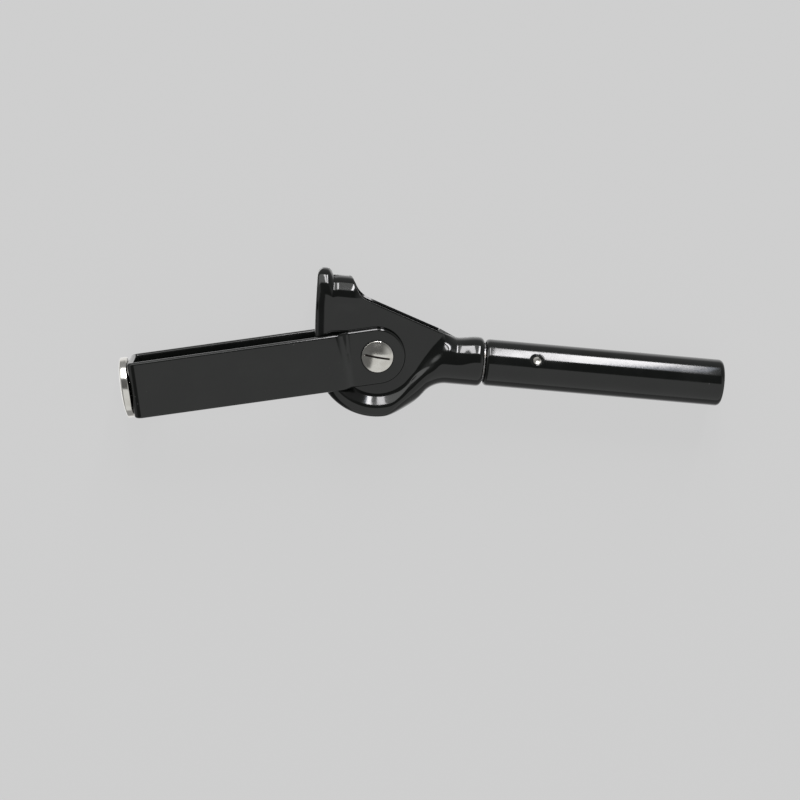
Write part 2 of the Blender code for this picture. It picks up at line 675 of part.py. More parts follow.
def add_handle():
    """Tube, the spigot that joins it to the collar, its cross pin and the end plug."""
    inner = TUBE_RADIUS - TUBE_WALL
    lip = [(1.0 - math.cos(angle), 1.0 - math.sin(angle)) for angle in (0.0, math.pi / 6, math.pi / 3)]
    upper = [(TUBE_RADIUS - TUBE_LIP * a, TUBE_END - TUBE_LIP * b) for a, b in lip]
    lower = [(radius, TUBE_START + TUBE_END - height) for radius, height in upper]
    tube = turned(
        "handle_tube",
        [
            (TUBE_RADIUS - TUBE_LIP, TUBE_END),
            *reversed(upper),
            *lower,
            (TUBE_RADIUS - TUBE_LIP, TUBE_START),
            (inner, TUBE_START),
            (inner, TUBE_END),
        ],
        PIVOT,
        (ENAMEL, 0.12, 0.0),
        closed=True,
    )
    tube.rotation_euler = ALONG_X
    pin_place = (PIN_X, 0.0, 0.0)
    pin_way = (-PIN_TURN, 0.0, 0.0)
    cut(tube, round_cutter("tube_pin_cutter", PIN_HOLE, 4.0 * TUBE_RADIUS, PIVOT, pin_way, pin_place))

    bore = SPIGOT_TUBE_RADIUS - SPIGOT_WALL
    spigot = turned(
        "handle_spigot",
        [
            (SPIGOT_TUBE_RADIUS - SPIGOT_CHAMFER, SPIGOT_END),
            (SPIGOT_TUBE_RADIUS, SPIGOT_END - SPIGOT_CHAMFER),
            (SPIGOT_TUBE_RADIUS, COLLAR_END),
            (SPIGOT_COLLAR_RADIUS, COLLAR_END - SPIGOT_STEP),
            (SPIGOT_COLLAR_RADIUS, SPIGOT_START),
            (bore, SPIGOT_START),
            (bore, SPIGOT_END),
        ],
        PIVOT,
        (STEEL, 0.35, 1.0),
        closed=True,
    )
    spigot.rotation_euler = ALONG_X
    cut(spigot, round_cutter("spigot_pin_cutter", PIN_HOLE, 4.0 * TUBE_RADIUS, PIVOT, pin_way, pin_place))

    pin = turned(
        "cross_pin",
        [
            (0.0, PIN_HALF_LENGTH),
            (PIN_RADIUS - PIN_CHAMFER, PIN_HALF_LENGTH),
            (PIN_RADIUS, PIN_HALF_LENGTH - PIN_CHAMFER),
            (PIN_RADIUS, PIN_CHAMFER - PIN_HALF_LENGTH),
            (PIN_RADIUS - PIN_CHAMFER, -PIN_HALF_LENGTH),
            (0.0, -PIN_HALF_LENGTH),
        ],
        PIVOT,
        (STEEL, 0.3, 1.0),
        SMALL_STEPS,
    )
    pin.rotation_euler = pin_way
    pin.location = pin_place

    plug_face = TUBE_END - PLUG_INSET
    plug = turned(
        "handle_end_plug",
        [
            (0.0, plug_face),
            (0.7 * PLUG_RADIUS, plug_face - 0.25 * PLUG_DOME),
            (PLUG_RADIUS, plug_face - PLUG_DOME),
            (PLUG_RADIUS, plug_face - PLUG_LENGTH),
            (0.0, plug_face - PLUG_LENGTH),
        ],
        PIVOT,
        (FIBRE, 0.45, 0.0),
    )
    plug.rotation_euler = ALONG_X


add_cheek("near_cheek", 1)
add_cheek("far_cheek", -1)
add_strap()
add_pivot()
add_end_button()
add_handle()
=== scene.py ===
import json
import math

import bmesh
import bpy
import numpy as np
from mathutils import Matrix, Vector
from mathutils.geometry import interpolate_bezier


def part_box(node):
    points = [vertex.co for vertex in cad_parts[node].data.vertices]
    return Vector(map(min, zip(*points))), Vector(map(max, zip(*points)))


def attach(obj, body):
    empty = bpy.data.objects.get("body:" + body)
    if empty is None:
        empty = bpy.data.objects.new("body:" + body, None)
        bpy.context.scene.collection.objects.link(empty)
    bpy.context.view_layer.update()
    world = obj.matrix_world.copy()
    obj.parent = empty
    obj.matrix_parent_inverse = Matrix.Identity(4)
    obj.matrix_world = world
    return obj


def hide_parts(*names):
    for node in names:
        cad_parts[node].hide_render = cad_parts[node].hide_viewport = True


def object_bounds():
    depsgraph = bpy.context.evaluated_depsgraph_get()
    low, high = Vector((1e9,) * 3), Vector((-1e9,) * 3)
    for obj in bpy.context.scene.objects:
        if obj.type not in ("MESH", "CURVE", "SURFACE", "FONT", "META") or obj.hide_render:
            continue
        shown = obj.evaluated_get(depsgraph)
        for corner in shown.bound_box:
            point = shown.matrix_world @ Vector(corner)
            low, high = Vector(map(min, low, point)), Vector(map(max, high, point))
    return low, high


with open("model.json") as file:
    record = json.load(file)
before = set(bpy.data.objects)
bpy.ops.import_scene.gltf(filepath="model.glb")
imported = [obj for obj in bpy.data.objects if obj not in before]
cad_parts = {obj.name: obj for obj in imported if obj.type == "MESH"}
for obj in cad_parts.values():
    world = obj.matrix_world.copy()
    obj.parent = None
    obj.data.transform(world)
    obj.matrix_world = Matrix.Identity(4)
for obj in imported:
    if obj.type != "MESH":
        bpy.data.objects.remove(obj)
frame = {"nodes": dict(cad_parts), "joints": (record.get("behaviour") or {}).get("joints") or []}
cadBox = [list(corner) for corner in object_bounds()]
nodes = frame["nodes"]
mm = 0.001

pivot = Vector(frame["joints"][0]["pos_m"])  # on the hinge axis, in the knuckle's middle plane
tubeLow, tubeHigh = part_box("handle_tube")
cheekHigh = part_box("near_cheek")[1]
screwLow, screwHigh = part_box("pivot_screw")
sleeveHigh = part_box("pivot_sleeve")[1]
plugLow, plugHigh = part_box("handle_end_plug")
floorZ = cadBox[0][2] - 0.1 * mm
print("frame loaded, pivot at", [round(value, 4) for value in pivot])


# helpers that every piece uses

def meshFrom(name, points, faces):
    mesh = bpy.data.meshes.new(name)
    mesh.from_pydata([[float(value) for value in point] for point in points], [], faces)
    return mesh


def mergeClose(mesh, distance):
    shell = bmesh.new()
    shell.from_mesh(mesh)
    bmesh.ops.remove_doubles(shell, verts=shell.verts, dist=distance)
    shell.to_mesh(mesh)
    shell.free()


def meshFromShell(name, shell):
    mesh = bpy.data.meshes.new(name)
    shell.to_mesh(mesh)
    shell.free()
    return mesh


def smoothBelow(mesh, degrees):
    mesh.shade_smooth()
    mesh.set_sharp_from_angle(angle=math.radians(degrees))


def addObject(name, mesh):
    piece = bpy.data.objects.new(name, mesh)
    bpy.context.scene.collection.objects.link(piece)
    return piece


def addCutter(name, mesh):
    cutter = addObject(name, mesh)
    cutter.hide_render = True
    cutter.display_type = "WIRE"
    return cutter


def prismMesh(name, sides, radius, length, matrix):
    shell = bmesh.new()
    bmesh.ops.create_cone(
        shell, cap_ends=True, segments=sides, radius1=radius, radius2=radius, depth=length, matrix=matrix
    )
    return meshFromShell(name, shell)


def cylinderCutter(name, radius, length, matrix):
    return addCutter(name, prismMesh(name, 48, radius, length, matrix))


def boxCutter(name, size, matrix):
    shell = bmesh.new()
    bmesh.ops.create_cube(shell, size=1.0, matrix=matrix @ Matrix.Diagonal((*size, 1.0)))
    return addCutter(name, meshFromShell(name, shell))


def cutAway(piece, cutter, solver="EXACT"):
    step = piece.modifiers.new("cut", "BOOLEAN")
    step.operation = "DIFFERENCE"
    step.solver = solver
    step.object = cutter


def easeEdges(piece, width, degrees):
    step = piece.modifiers.new("ease", "BEVEL")
    step.width = width
    step.segments = 2
    step.limit_method = "ANGLE"
    step.angle_limit = math.radians(degrees)
    step.use_clamp_overlap = True


def applySteps(piece, cutters, sharpAbove):
    # turns the modifier stack into the piece's own mesh and drops the cutters
    graph = bpy.context.evaluated_depsgraph_get()
    made = bpy.data.meshes.new_from_object(piece.evaluated_get(graph))
    piece.modifiers.clear()
    piece.data = made
    smoothBelow(made, sharpAbove)
    for cutter in cutters:
        bpy.data.objects.remove(cutter, do_unlink=True)


def finishPiece(piece, body, material, replaced):
    piece.data.materials.clear()
    piece.data.materials.append(material)
    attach(piece, body)
    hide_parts(*replaced)
    print("  ", piece.name, len(piece.data.polygons), "faces")


def smoothStep(value):
    value = np.clip(value, 0.0, 1.0)
    return value * value * (3.0 - 2.0 * value)


def roundedProfile(corners, radii):
    # (radius, height) corners with each one rounded by its own radius
    made = []
    count = len(corners)
    for i, (corner, radius) in enumerate(zip(corners, radii)):
        point = Vector(corner)
        if radius <= 0.0 or i in (0, count - 1):
            made.append(point)
            continue
        towards = (Vector(corners[i - 1]) - point).normalized()
        away = (Vector(corners[i + 1]) - point).normalized()
        reach = radius / math.tan(towards.angle(away) / 2.0)
        start, end = point + towards * reach, point + away * reach
        hook = 0.5523 * reach  # close to a circle's arc
        guides = (start, start - towards * hook, end - away * hook, end)
        made += [spot.to_2d() for spot in interpolate_bezier(*[guide.to_3d() for guide in guides], 6)]
    return made


def turnedMesh(name, profile, sides=96, matrix=None, closed=False):
    # a lathe: the profile runs down the outer side from the top, about local Z
    count = len(profile)
    points, faces = [], []
    for side in range(sides):
        angle = 2.0 * math.pi * side / sides
        for radius, height in profile:
            points.append((radius * math.cos(angle), radius * math.sin(angle), height))
    for side in range(sides):
        ahead = (side + 1) % sides
        for i in range(count if closed else count - 1):
            j = (i + 1) % count
            faces.append((side * count + i, side * count + j, ahead * count + j, ahead * count + i))
    mesh = meshFrom(name, points, faces)
    mergeClose(mesh, 0.001 * mm)
    if matrix is not None:
        mesh.transform(matrix)
    return mesh


def addTurned(name, profile, matrix, sides=96, closed=False):
    piece = addObject(name, turnedMesh(name, profile, sides, matrix, closed))
    smoothBelow(piece.data, 40.0)
    return piece


# shared surface effects, each a node group with its own inputs

def newGroup(name, inputs, outputs):
    group = bpy.data.node_groups.new(name, "ShaderNodeTree")
    for label, kind, value in inputs:
        socket = group.interface.new_socket(name=label, in_out="INPUT", socket_type=kind)
        socket.default_value = value
    for label, kind in outputs:
        group.interface.new_socket(name=label, in_out="OUTPUT", socket_type=kind)
    source = group.nodes.new("NodeGroupInput")
    sink = group.nodes.new("NodeGroupOutput")
    return group, source, sink


def feed(tree, socket, value):
    if isinstance(value, (int, float)):
        socket.default_value = value
    else:
        tree.links.new(value, socket)


def mathNode(tree, operation, *values):
    node = tree.nodes.new("ShaderNodeMath")
    node.operation = operation
    for socket, value in zip(node.inputs, values):
        feed(tree, socket, value)
    return node.outputs[0]


def weightedSum(tree, first, firstShare, second, secondShare):
    return mathNode(tree, "ADD", mathNode(tree, "MULTIPLY", first, firstShare),
                    mathNode(tree, "MULTIPLY", second, secondShare))


def vectorNode(tree, operation, *values):
    node = tree.nodes.new("ShaderNodeVectorMath")
    node.operation = operation
    for socket, value in zip(node.inputs, values):
        tree.links.new(value, socket)
    return node


def noiseNode(tree, vector, scale, detail=2.0, roughness=0.5):
    node = tree.nodes.new("ShaderNodeTexNoise")
    node.inputs["Detail"].default_value = detail
    node.inputs["Roughness"].default_value = roughness
    tree.links.new(vector, node.inputs["Vector"])
    feed(tree, node.inputs["Scale"], scale)
    return node.outputs["Fac"]


def rangeNode(tree, value, fromLow, fromHigh, toLow, toHigh):
    node = tree.nodes.new("ShaderNodeMapRange")
    node.interpolation_type = "SMOOTHSTEP"
    limits = {"From Min": fromLow, "From Max": fromHigh, "To Min": toLow, "To Max": toHigh}
    for label, limit in limits.items():
        feed(tree, node.inputs[label], limit)
    tree.links.new(value, node.inputs["Value"])
    return node.outputs["Result"]


def buildEnamelFlow():
    # slow sag of thick paint, fine orange peel and grit trapped under it
    group, source, sink = newGroup(
        "enamelFlow",
        [("Sag Scale", "NodeSocketFloat", 120.0), ("Peel Scale", "NodeSocketFloat", 900.0),
         ("Grit Scale", "NodeSocketFloat", 420.0), ("Grit Amount", "NodeSocketFloat", 0.3)],
        [("Height", "NodeSocketFloat"), ("Grit", "NodeSocketFloat")],
    )
    place = group.nodes.new("ShaderNodeTexCoord").outputs["Object"]
    sag = noiseNode(group, place, source.outputs["Sag Scale"], 1.0)
    peel = noiseNode(group, place, source.outputs["Peel Scale"], 2.0)
    cells = group.nodes.new("ShaderNodeTexVoronoi")
    group.links.new(place, cells.inputs["Vector"])
    group.links.new(source.outputs["Grit Scale"], cells.inputs["Scale"])
    spot = rangeNode(group, cells.outputs["Distance"], 0.05, 0.16, 1.0, 0.0)
    chosen = mathNode(group, "GREATER_THAN", noiseNode(group, place, 95.0, 0.0), 0.74)
    grit = mathNode(group, "MULTIPLY", spot, chosen)
    height = weightedSum(group, sag, 0.7, peel, 0.3)
    raised = mathNode(group, "MULTIPLY", grit, source.outputs["Grit Amount"])
    group.links.new(mathNode(group, "ADD", height, raised), sink.inputs["Height"])
    group.links.new(grit, sink.inputs["Grit"])
    return group


def buildHandling():
    # greasy haze and short hairline rubs, as a mask from clean to handled
    group, source, sink = newGroup(
        "handlingMarks",
        [("Haze Scale", "NodeSocketFloat", 60.0), ("Rub Scale", "NodeSocketFloat", 700.0),
         ("Rub Stretch", "NodeSocketVector", (0.06, 1.0, 1.0))],
        [("Haze", "NodeSocketFloat"), ("Rubs", "NodeSocketFloat")],
    )
    place = group.nodes.new("ShaderNodeTexCoord").outputs["Object"]
    cloud = noiseNode(group, place, source.outputs["Haze Scale"], 4.0, 0.6)
    haze = rangeNode(group, cloud, 0.38, 0.72, 0.0, 1.0)
    stretched = vectorNode(group, "MULTIPLY", place, source.outputs["Rub Stretch"])
    streaks = noiseNode(group, stretched.outputs[0], source.outputs["Rub Scale"], 2.0)
    group.links.new(haze, sink.inputs["Haze"])
    group.links.new(rangeNode(group, streaks, 0.60, 0.72, 0.0, 1.0), sink.inputs["Rubs"])
    return group


def buildToolMarks():
    # fine turning rings about an axis through a centre
    group, source, sink = newGroup(
        "toolMarks",
        [("Centre", "NodeSocketVector", (0.0, 0.0, 0.0)), ("Across", "NodeSocketVector", (1.0, 1.0, 0.0)),
         ("Rings", "NodeSocketFloat", 9000.0)],
        [("Height", "NodeSocketFloat")],
    )
    place = group.nodes.new("ShaderNodeTexCoord").outputs["Object"]
    offset = vectorNode(group, "SUBTRACT", place, source.outputs["Centre"])
    flat = vectorNode(group, "MULTIPLY", offset.outputs[0], source.outputs["Across"])
    span = vectorNode(group, "LENGTH", flat.outputs[0])
    turns = mathNode(group, "MULTIPLY", span.outputs["Value"], source.outputs["Rings"])
    wave = mathNode(group, "SINE", turns)
    uneven = noiseNode(group, place, 900.0, 1.0)
    group.links.new(mathNode(group, "MULTIPLY", wave, uneven), sink.inputs["Height"])
    return group


enamelFlow = buildEnamelFlow()
handlingMarks = buildHandling()
toolMarks = buildToolMarks()


def newMaterial(name):
    material = bpy.data.materials.new(name)
    material.use_nodes = True
    tree = material.node_tree
    return material, tree, tree.nodes["Principled BSDF"]


def useGroup(tree, group, values):
    node = tree.nodes.new("ShaderNodeGroup")
    node.node_tree = group
    for label, value in values.items():
        node.inputs[label].default_value = value
    return node


def mixColours(tree, mask, first, second):
    node = tree.nodes.new("ShaderNodeMix")
    node.data_type = "RGBA"
    tree.links.new(mask, node.inputs["Factor"])
    for socket, value in ((node.inputs["A"], first), (node.inputs["B"], second)):
        if isinstance(value, tuple):
            socket.default_value = (*value, 1.0)
        else:
            tree.links.new(value, socket)
    return node.outputs["Result"]


def addBump(tree, shader, height, strength, distance):
    bump = tree.nodes.new("ShaderNodeBump")
    bump.inputs["Strength"].default_value = strength
    bump.inputs["Distance"].default_value = distance
    tree.links.new(height, bump.inputs["Height"])
    tree.links.new(bump.outputs["Normal"], shader.inputs["Normal"])


def spreadGloss(tree, shader, mask, low, high):
    tree.links.new(rangeNode(tree, mask, 0.0, 1.0, low, high), shader.inputs["Roughness"])


# black stoved enamel: deep gloss, slight sag and peel, a few grit specks and a handled haze
enamelLook = {
    "colour": (0.0020, 0.0024, 0.0021),
    "rubbed": (0.0040, 0.0046, 0.0042),
    "gritColour": (0.05, 0.05, 0.048),
    "gloss": 0.08,
    "hazedGloss": 0.15,
    "bump": 0.22,
    "bumpDepth": 0.06 * mm,
}


def makeEnamel(name, look, sagScale):
    material, tree, shader = newMaterial(name)
    flow = useGroup(tree, enamelFlow, {"Sag Scale": sagScale})
    marks = useGroup(tree, handlingMarks, {})
    base = mixColours(tree, marks.outputs["Haze"], look["colour"], look["rubbed"])
    colour = mixColours(tree, flow.outputs["Grit"], base, look["gritColour"])
    tree.links.new(colour, shader.inputs["Base Color"])
    haze = weightedSum(tree, marks.outputs["Haze"], 0.8, marks.outputs["Rubs"], 0.25)
    spreadGloss(tree, shader, haze, look["gloss"], look["hazedGloss"])
    shader.inputs["IOR"].default_value = 1.5
    addBump(tree, shader, flow.outputs["Height"], look["bump"], look["bumpDepth"])
    return material


# bright nickel plate, faintly yellow, with hairlines and finger marks
nickelLook = {
    "colour": (0.70, 0.685, 0.65),
    "dulled": (0.60, 0.58, 0.54),
    # painted shade colour for the screw's driver slot
    "slotShade": (0.030, 0.027, 0.023),
    "gloss": 0.13,
    "dulledGloss": 0.24,
    "ringDepth": 0.002 * mm,
}


def addSlotShade(tree, colour, slotShade, slotHalf, turn, floor):
    # painted shade: the driver slot is coloured dark above the floor height, in place of the shade that falls
    # into it
    place = tree.nodes.new("ShaderNodeSeparateXYZ")
    tree.links.new(tree.nodes.new("ShaderNodeTexCoord").outputs["Object"], place.inputs[0])
    across = mathNode(tree, "SUBTRACT", mathNode(tree, "MULTIPLY", place.outputs["Y"], math.cos(turn)),
                      mathNode(tree, "MULTIPLY", place.outputs["X"], math.sin(turn)))
    inside = rangeNode(tree, mathNode(tree, "ABSOLUTE", across), slotHalf * 1.02, slotHalf * 1.25, 1.0, 0.0)
    above = mathNode(tree, "GREATER_THAN", place.outputs["Z"], floor)
    along = mathNode(tree, "ABSOLUTE", place.outputs["X"])
    inside = mathNode(tree, "MULTIPLY", inside, rangeNode(tree, along, 5.2 * mm, 6.0 * mm, 1.0, 0.15))
    return mixColours(tree, mathNode(tree, "MULTIPLY", inside, above), colour, slotShade)


def makeNickel(name, look, centre, across, rings=7000.0, slot=None):
    material, tree, shader = newMaterial(name)
    handled = {"Haze Scale": 210.0, "Rub Scale": 1500.0, "Rub Stretch": (0.15, 1.0, 1.0)}
    marks = useGroup(tree, handlingMarks, handled)
    turning = useGroup(tree, toolMarks, {"Rings": rings, "Centre": centre, "Across": across})
    colour = mixColours(tree, marks.outputs["Haze"], look["colour"], look["dulled"])
    # painted shade: the screw's driver slot is darkened in the colour
    if slot is not None:
        colour = addSlotShade(tree, colour, look["slotShade"], *slot)
    tree.links.new(colour, shader.inputs["Base Color"])
    worn = weightedSum(tree, marks.outputs["Haze"], 0.6, marks.outputs["Rubs"], 0.4)
    spreadGloss(tree, shader, worn, look["gloss"], look["dulledGloss"])
    shader.inputs["Metallic"].default_value = 1.0
    scratched = mathNode(tree, "MULTIPLY", marks.outputs["Rubs"], 0.7)
    height = mathNode(tree, "SUBTRACT", turning.outputs["Height"], scratched)
    addBump(tree, shader, height, 0.35, look["ringDepth"])
    return material


# plain turned metals inside: steel and bronze
def makeTurnedMetal(name, colour, stained, centre, across, gloss=0.3):
    material, tree, shader = newMaterial(name)
    marks = useGroup(tree, handlingMarks, {"Haze Scale": 160.0, "Rub Scale": 1200.0})
    turning = useGroup(tree, toolMarks, {"Rings": 5200.0, "Centre": centre, "Across": across})
    tree.links.new(mixColours(tree, marks.outputs["Haze"], colour, stained), shader.inputs["Base Color"])
    spreadGloss(tree, shader, marks.outputs["Haze"], gloss, gloss + 0.2)
    shader.inputs["Metallic"].default_value = 1.0
    addBump(tree, shader, turning.outputs["Height"], 0.5, 0.006 * mm)
    return material


# black fibre and plastic: matt with a fine tooth
def makeFibre(name, colour, roughLow, roughHigh):
    material, tree, shader = newMaterial(name)
    flow = useGroup(tree, enamelFlow, {"Sag Scale": 300.0, "Peel Scale": 2600.0})
    marks = useGroup(tree, handlingMarks, {"Haze Scale": 140.0})
    lighter = tuple(min(1.0, value * 2.2) for value in colour)
    tree.links.new(mixColours(tree, marks.outputs["Haze"], colour, lighter), shader.inputs["Base Color"])
    spreadGloss(tree, shader, marks.outputs["Haze"], roughLow, roughHigh)
    addBump(tree, shader, flow.outputs["Height"], 0.5, 0.05 * mm)
    shader.inputs["Specular IOR Level"].default_value = 0.15
    return material


alongX = (0.0, 1.0, 1.0)
alongZ = (1.0, 1.0, 0.0)
onPivot = tuple(pivot)
blackEnamel = makeEnamel("blackEnamel", enamelLook, 120.0)
tubeEnamel = makeEnamel("tubeEnamel", enamelLook, 90.0)
strapEnamel = makeEnamel("strapEnamel", enamelLook, 70.0)
driverSlot = {"length": 12.6 * mm, "width": 0.8 * mm, "depth": 1.3 * mm, "turn": math.radians(-5.0)}
pivotNickel = makeNickel("pivotNickel", nickelLook, onPivot, alongZ)
# the slot values paint shade into the screw's driver slot
screwNickel = makeNickel("screwNickel", nickelLook, onPivot, alongZ,
                         slot=(driverSlot["width"] / 2.0, driverSlot["turn"], screwHigh[2] - 2.0 * mm))
innerSteel = makeTurnedMetal("innerSteel", (0.42, 0.42, 0.43), (0.24, 0.22, 0.20), onPivot, alongX)
pivotSteel = makeTurnedMetal("pivotSteel", (0.42, 0.42, 0.43), (0.26, 0.24, 0.21), onPivot, alongZ)
bushBronze = makeTurnedMetal("bushBronze", (0.50, 0.33, 0.16), (0.30, 0.18, 0.09), onPivot, alongZ)
blackFibre = makeFibre("blackFibre", (0.010, 0.010, 0.010), 0.45, 0.7)
plugPlastic = makeFibre("plugPlastic", (0.014, 0.014, 0.015), 0.35, 0.55)
print("materials made")


# the pressed knuckle

cheekForm = {
    "sheet": 2.0 * mm,
    "seam": 0.02 * mm,  # enamel bridges the joint between the two halves
    "skirt": 1.0 * mm,
    "floorDepth": 6.8 * mm,
    "pivotHole": 5.6 * mm,
    "rimRise": 3.2 * mm,
    "swellFrom": 16.0 * mm,
    "swellRun": 9.0 * mm,
    "ringRadius": 28.1 * mm,
    "ringEnd": math.radians(-145.0),
    "throatRadius": 12.0 * mm,
    "beakCentre": Vector((-26.1 * mm, 33.0 * mm)),
    "beakRadius": 3.65 * mm,
    "beakDipRadius": 6.0 * mm,
    "beakTop": 33.8 * mm,
    "beakCornerX": -14.4 * mm,
    "beadRun": 12.5 * mm,
    "roofRun": 9.5 * mm,
    "waist": Vector((-28.4 * mm, 3.0 * mm)),
    "slotCorner": Vector((-9.5 * mm, 25.2 * mm)),
    "slantSlope": -0.335,
    "collarRadius": cheekHigh[2] - pivot.z,
    "collarStart": 36.0 * mm,
    "collarEnd": cheekHigh[0],
    "collarLip": (2.4 * mm, 1.7 * mm),
    "wallCorner": np.array((20.2 * mm, 0.0)),
    "wallNormal": np.array((0.88, -0.475)),
    "wallRun": 8.4 * mm,
    "neckDip": 1.1 * mm,
    "hubRadius": 9.4 * mm,
    "outlineStep": 0.7 * mm,
    "ringCount": 72,
    "edgeEase": 0.35 * mm,
    # rise as a share of rimRise, run and drop of the round-over, rim width and run of the inner fillet
    "edges": {
        "ring": (1.0, 2.6 * mm, 2.6 * mm, 4.1 * mm, 6.6 * mm),
        "side": (0.5, 5.2 * mm, 3.2 * mm, 5.2 * mm, 7.0 * mm),
        "beak": (1.0, 4.2 * mm, 3.0 * mm, 4.0 * mm, 4.6 * mm),
        "slot": (0.0, 0.6 * mm, 0.55 * mm, 4.0 * mm, 3.6 * mm),
        "shoulder": (0.0, 2.0 * mm, 0.0, 4.0 * mm, 3.6 * mm),
    },
}


def arcPoints(centre, radius, start, end, step):
    count = max(2, round(abs(end - start) * radius / step))
    turn = (end - start) / count
    angles = [start + i * turn for i in range(count)]
    return [centre + radius * Vector((math.cos(angle), math.sin(angle))) for angle in angles]


def linePoints(start, end, step):
    count = max(1, round((end - start).length / step))
    return [start.lerp(end, i / count) for i in range(count)]


def cornerPoints(before, point, after, radius, step):
    towards = (before - point).normalized()
    away = (after - point).normalized()
    half = towards.angle(away) / 2.0
    centre = point + (towards + away).normalized() * radius / math.sin(half)
    first = point + towards * radius / math.tan(half) - centre
    last = point + away * radius / math.tan(half) - centre
    start = math.atan2(first.y, first.x)
    sweep = (math.atan2(last.y, last.x) - start + math.pi) % (2.0 * math.pi) - math.pi
    return arcPoints(centre, radius, start, start + sweep, step)


def throatCentre(form):
    reach = form["ringRadius"] + form["throatRadius"]
    y = -form["collarRadius"] - form["throatRadius"]
    return Vector((math.sqrt(reach * reach - y * y), y))


def neckRadius(form, x, lean):
    # the collar narrows towards the slot on its upper side
    dip = form["neckDip"] * smoothStep((form["collarStart"] + 9.0 * mm - x) / (9.0 * mm))
    return form["collarRadius"] - dip * smoothStep((lean + 0.4) / 0.8)


def knuckleOutline(form):
    # from the collar's lower side, round the ring, up the beak and down the slanted slot edge
    step = form["outlineStep"]
    ring, throat, collar = form["ringRadius"], throatCentre(form), form["collarRadius"]
    throatEnd = math.atan2(-throat.y, -throat.x)
    ringStart = math.atan2(throat.y, throat.x)
    lowerCollar = Vector((form["collarStart"], -collar))
    runs = [("throat", linePoints(lowerCollar, throat + Vector((0, form["throatRadius"])), step))]
    runs.append(("throat", arcPoints(throat, form["throatRadius"], math.pi / 2.0, throatEnd, step)))
    runs.append(("ring", arcPoints(Vector((0, 0)), ring, ringStart, form["ringEnd"], step)))

    ringLast = ring * Vector((math.cos(form["ringEnd"]), math.sin(form["ringEnd"])))
    ringWay = Vector((math.sin(form["ringEnd"]), -math.cos(form["ringEnd"])))
    waist, beak = form["waist"], form["beakCentre"]
    beakSide = beak - Vector((form["beakRadius"], 0))
    lower = (ringLast, ringLast + 5.0 * mm * ringWay, waist - Vector((-0.3 * mm, 6.7 * mm)), waist)
    upper = (waist, waist + Vector((-0.5 * mm, 7.0 * mm)), beakSide - Vector((0, 13.0 * mm)), beakSide)
    for ends, reach in ((lower, 20.0 * mm), (upper, 31.0 * mm)):
        curve = interpolate_bezier(*[spot.to_3d() for spot in ends], round(reach / step) + 1)
        runs.append(("side", [spot.to_2d() for spot in curve[:-1]]))

    dipY = form["beakTop"] + form["beakDipRadius"]
    rise = dipY - beak.y
    dip = Vector((beak.x + math.sqrt((form["beakRadius"] + form["beakDipRadius"]) ** 2 - rise**2), dipY))
    turn = math.atan2(dip.y - beak.y, dip.x - beak.x)
    runs.append(("beak", arcPoints(beak, form["beakRadius"], math.pi, turn, step * 0.6)))
    dipArc = arcPoints(dip, form["beakDipRadius"], math.pi + turn, 1.5 * math.pi, step * 0.8)
    runs.append(("shoulder", dipArc))

    slotCorner = form["slotCorner"]
    topStart = Vector((dip.x, form["beakTop"]))
    topCorner = Vector((form["beakCornerX"], form["beakTop"]))
    neck = float(neckRadius(form, form["collarStart"], 1.0))
    collarCorner = Vector((slotCorner.x + (neck - slotCorner.y) / form["slantSlope"], neck))
    collarTop = Vector((form["collarStart"], neck))
    topArc = cornerPoints(topStart, topCorner, slotCorner, 2.2 * mm, step * 0.4)
    slotArc = cornerPoints(topCorner, slotCorner, collarCorner, 10.0 * mm, step * 0.8)
    collarArc = cornerPoints(slotCorner, collarCorner, collarTop, 2.0 * mm, step * 0.4)
    runs.append(("shoulder", linePoints(topStart, topArc[0], step)))
    runs.append(("slot", topArc))
    runs.append(("slot", linePoints(topArc[-1], slotArc[0], step)[1:]))
    runs.append(("slot", slotArc))
    runs.append(("slot", linePoints(slotArc[-1], collarArc[0], step)[1:]))
    runs.append(("slot", collarArc))
    return [(spot, stretch) for stretch, spots in runs for spot in spots]


def edgeForm(form, spot, stretch):
    # the throat is edged like the ring, and the beak like the shoulder past its centre
    if stretch == "throat":
        stretch = "ring"
    elif stretch == "beak" and spot.x >= form["beakCentre"].x:
        stretch = "shoulder"
    share, *widths = form["edges"][stretch]
    return [share * form["rimRise"], *widths]


def roofHeights(form, spots, level):
    # the beak curls over to meet its other half, further from the tip at the bead than at the shoulder
    x, y = spots[:, 0], spots[:, 1]
    beak, radius = form["beakCentre"], form["beakRadius"]
    top = beak.y + np.sqrt(np.clip(radius**2 - np.clip(x - beak.x, 0.0, None) ** 2, 0.0, None))
    side = smoothStep((x - beak.x - 0.3 * radius) / (1.5 * radius))
    top = top + (form["beakTop"] - top) * side
    run = form["beadRun"] + (form["roofRun"] - form["beadRun"]) * smoothStep((x - beak.x) / (6.0 * mm))
    reach = 1.0 - np.clip((top - y) / run, 0.0, 1.0)
    return level * np.sqrt(1.0 - reach * reach)


def softenForms(forms, spread):
    # averages the edge values over a length of edge, so that one stretch runs into the next
    for _ in range(spread):
        padded = np.vstack((forms[:1], forms, forms[-1:]))
        forms = 0.25 * padded[:-2] + 0.5 * padded[1:-1] + 0.25 * padded[2:]
    return forms


def nearestOnEdge(spots, edge):
    start, way = edge[:-1], edge[1:] - edge[:-1]
    offset = spots[:, None, :] - start[None]
    share = np.clip((offset * way).sum(2) / (way * way).sum(1), 0.0, 1.0)
    gap = np.linalg.norm(offset - share[..., None] * way, axis=2)
    best = gap.argmin(1)
    rows = np.arange(len(spots))
    return gap[rows, best], best, share[rows, best]


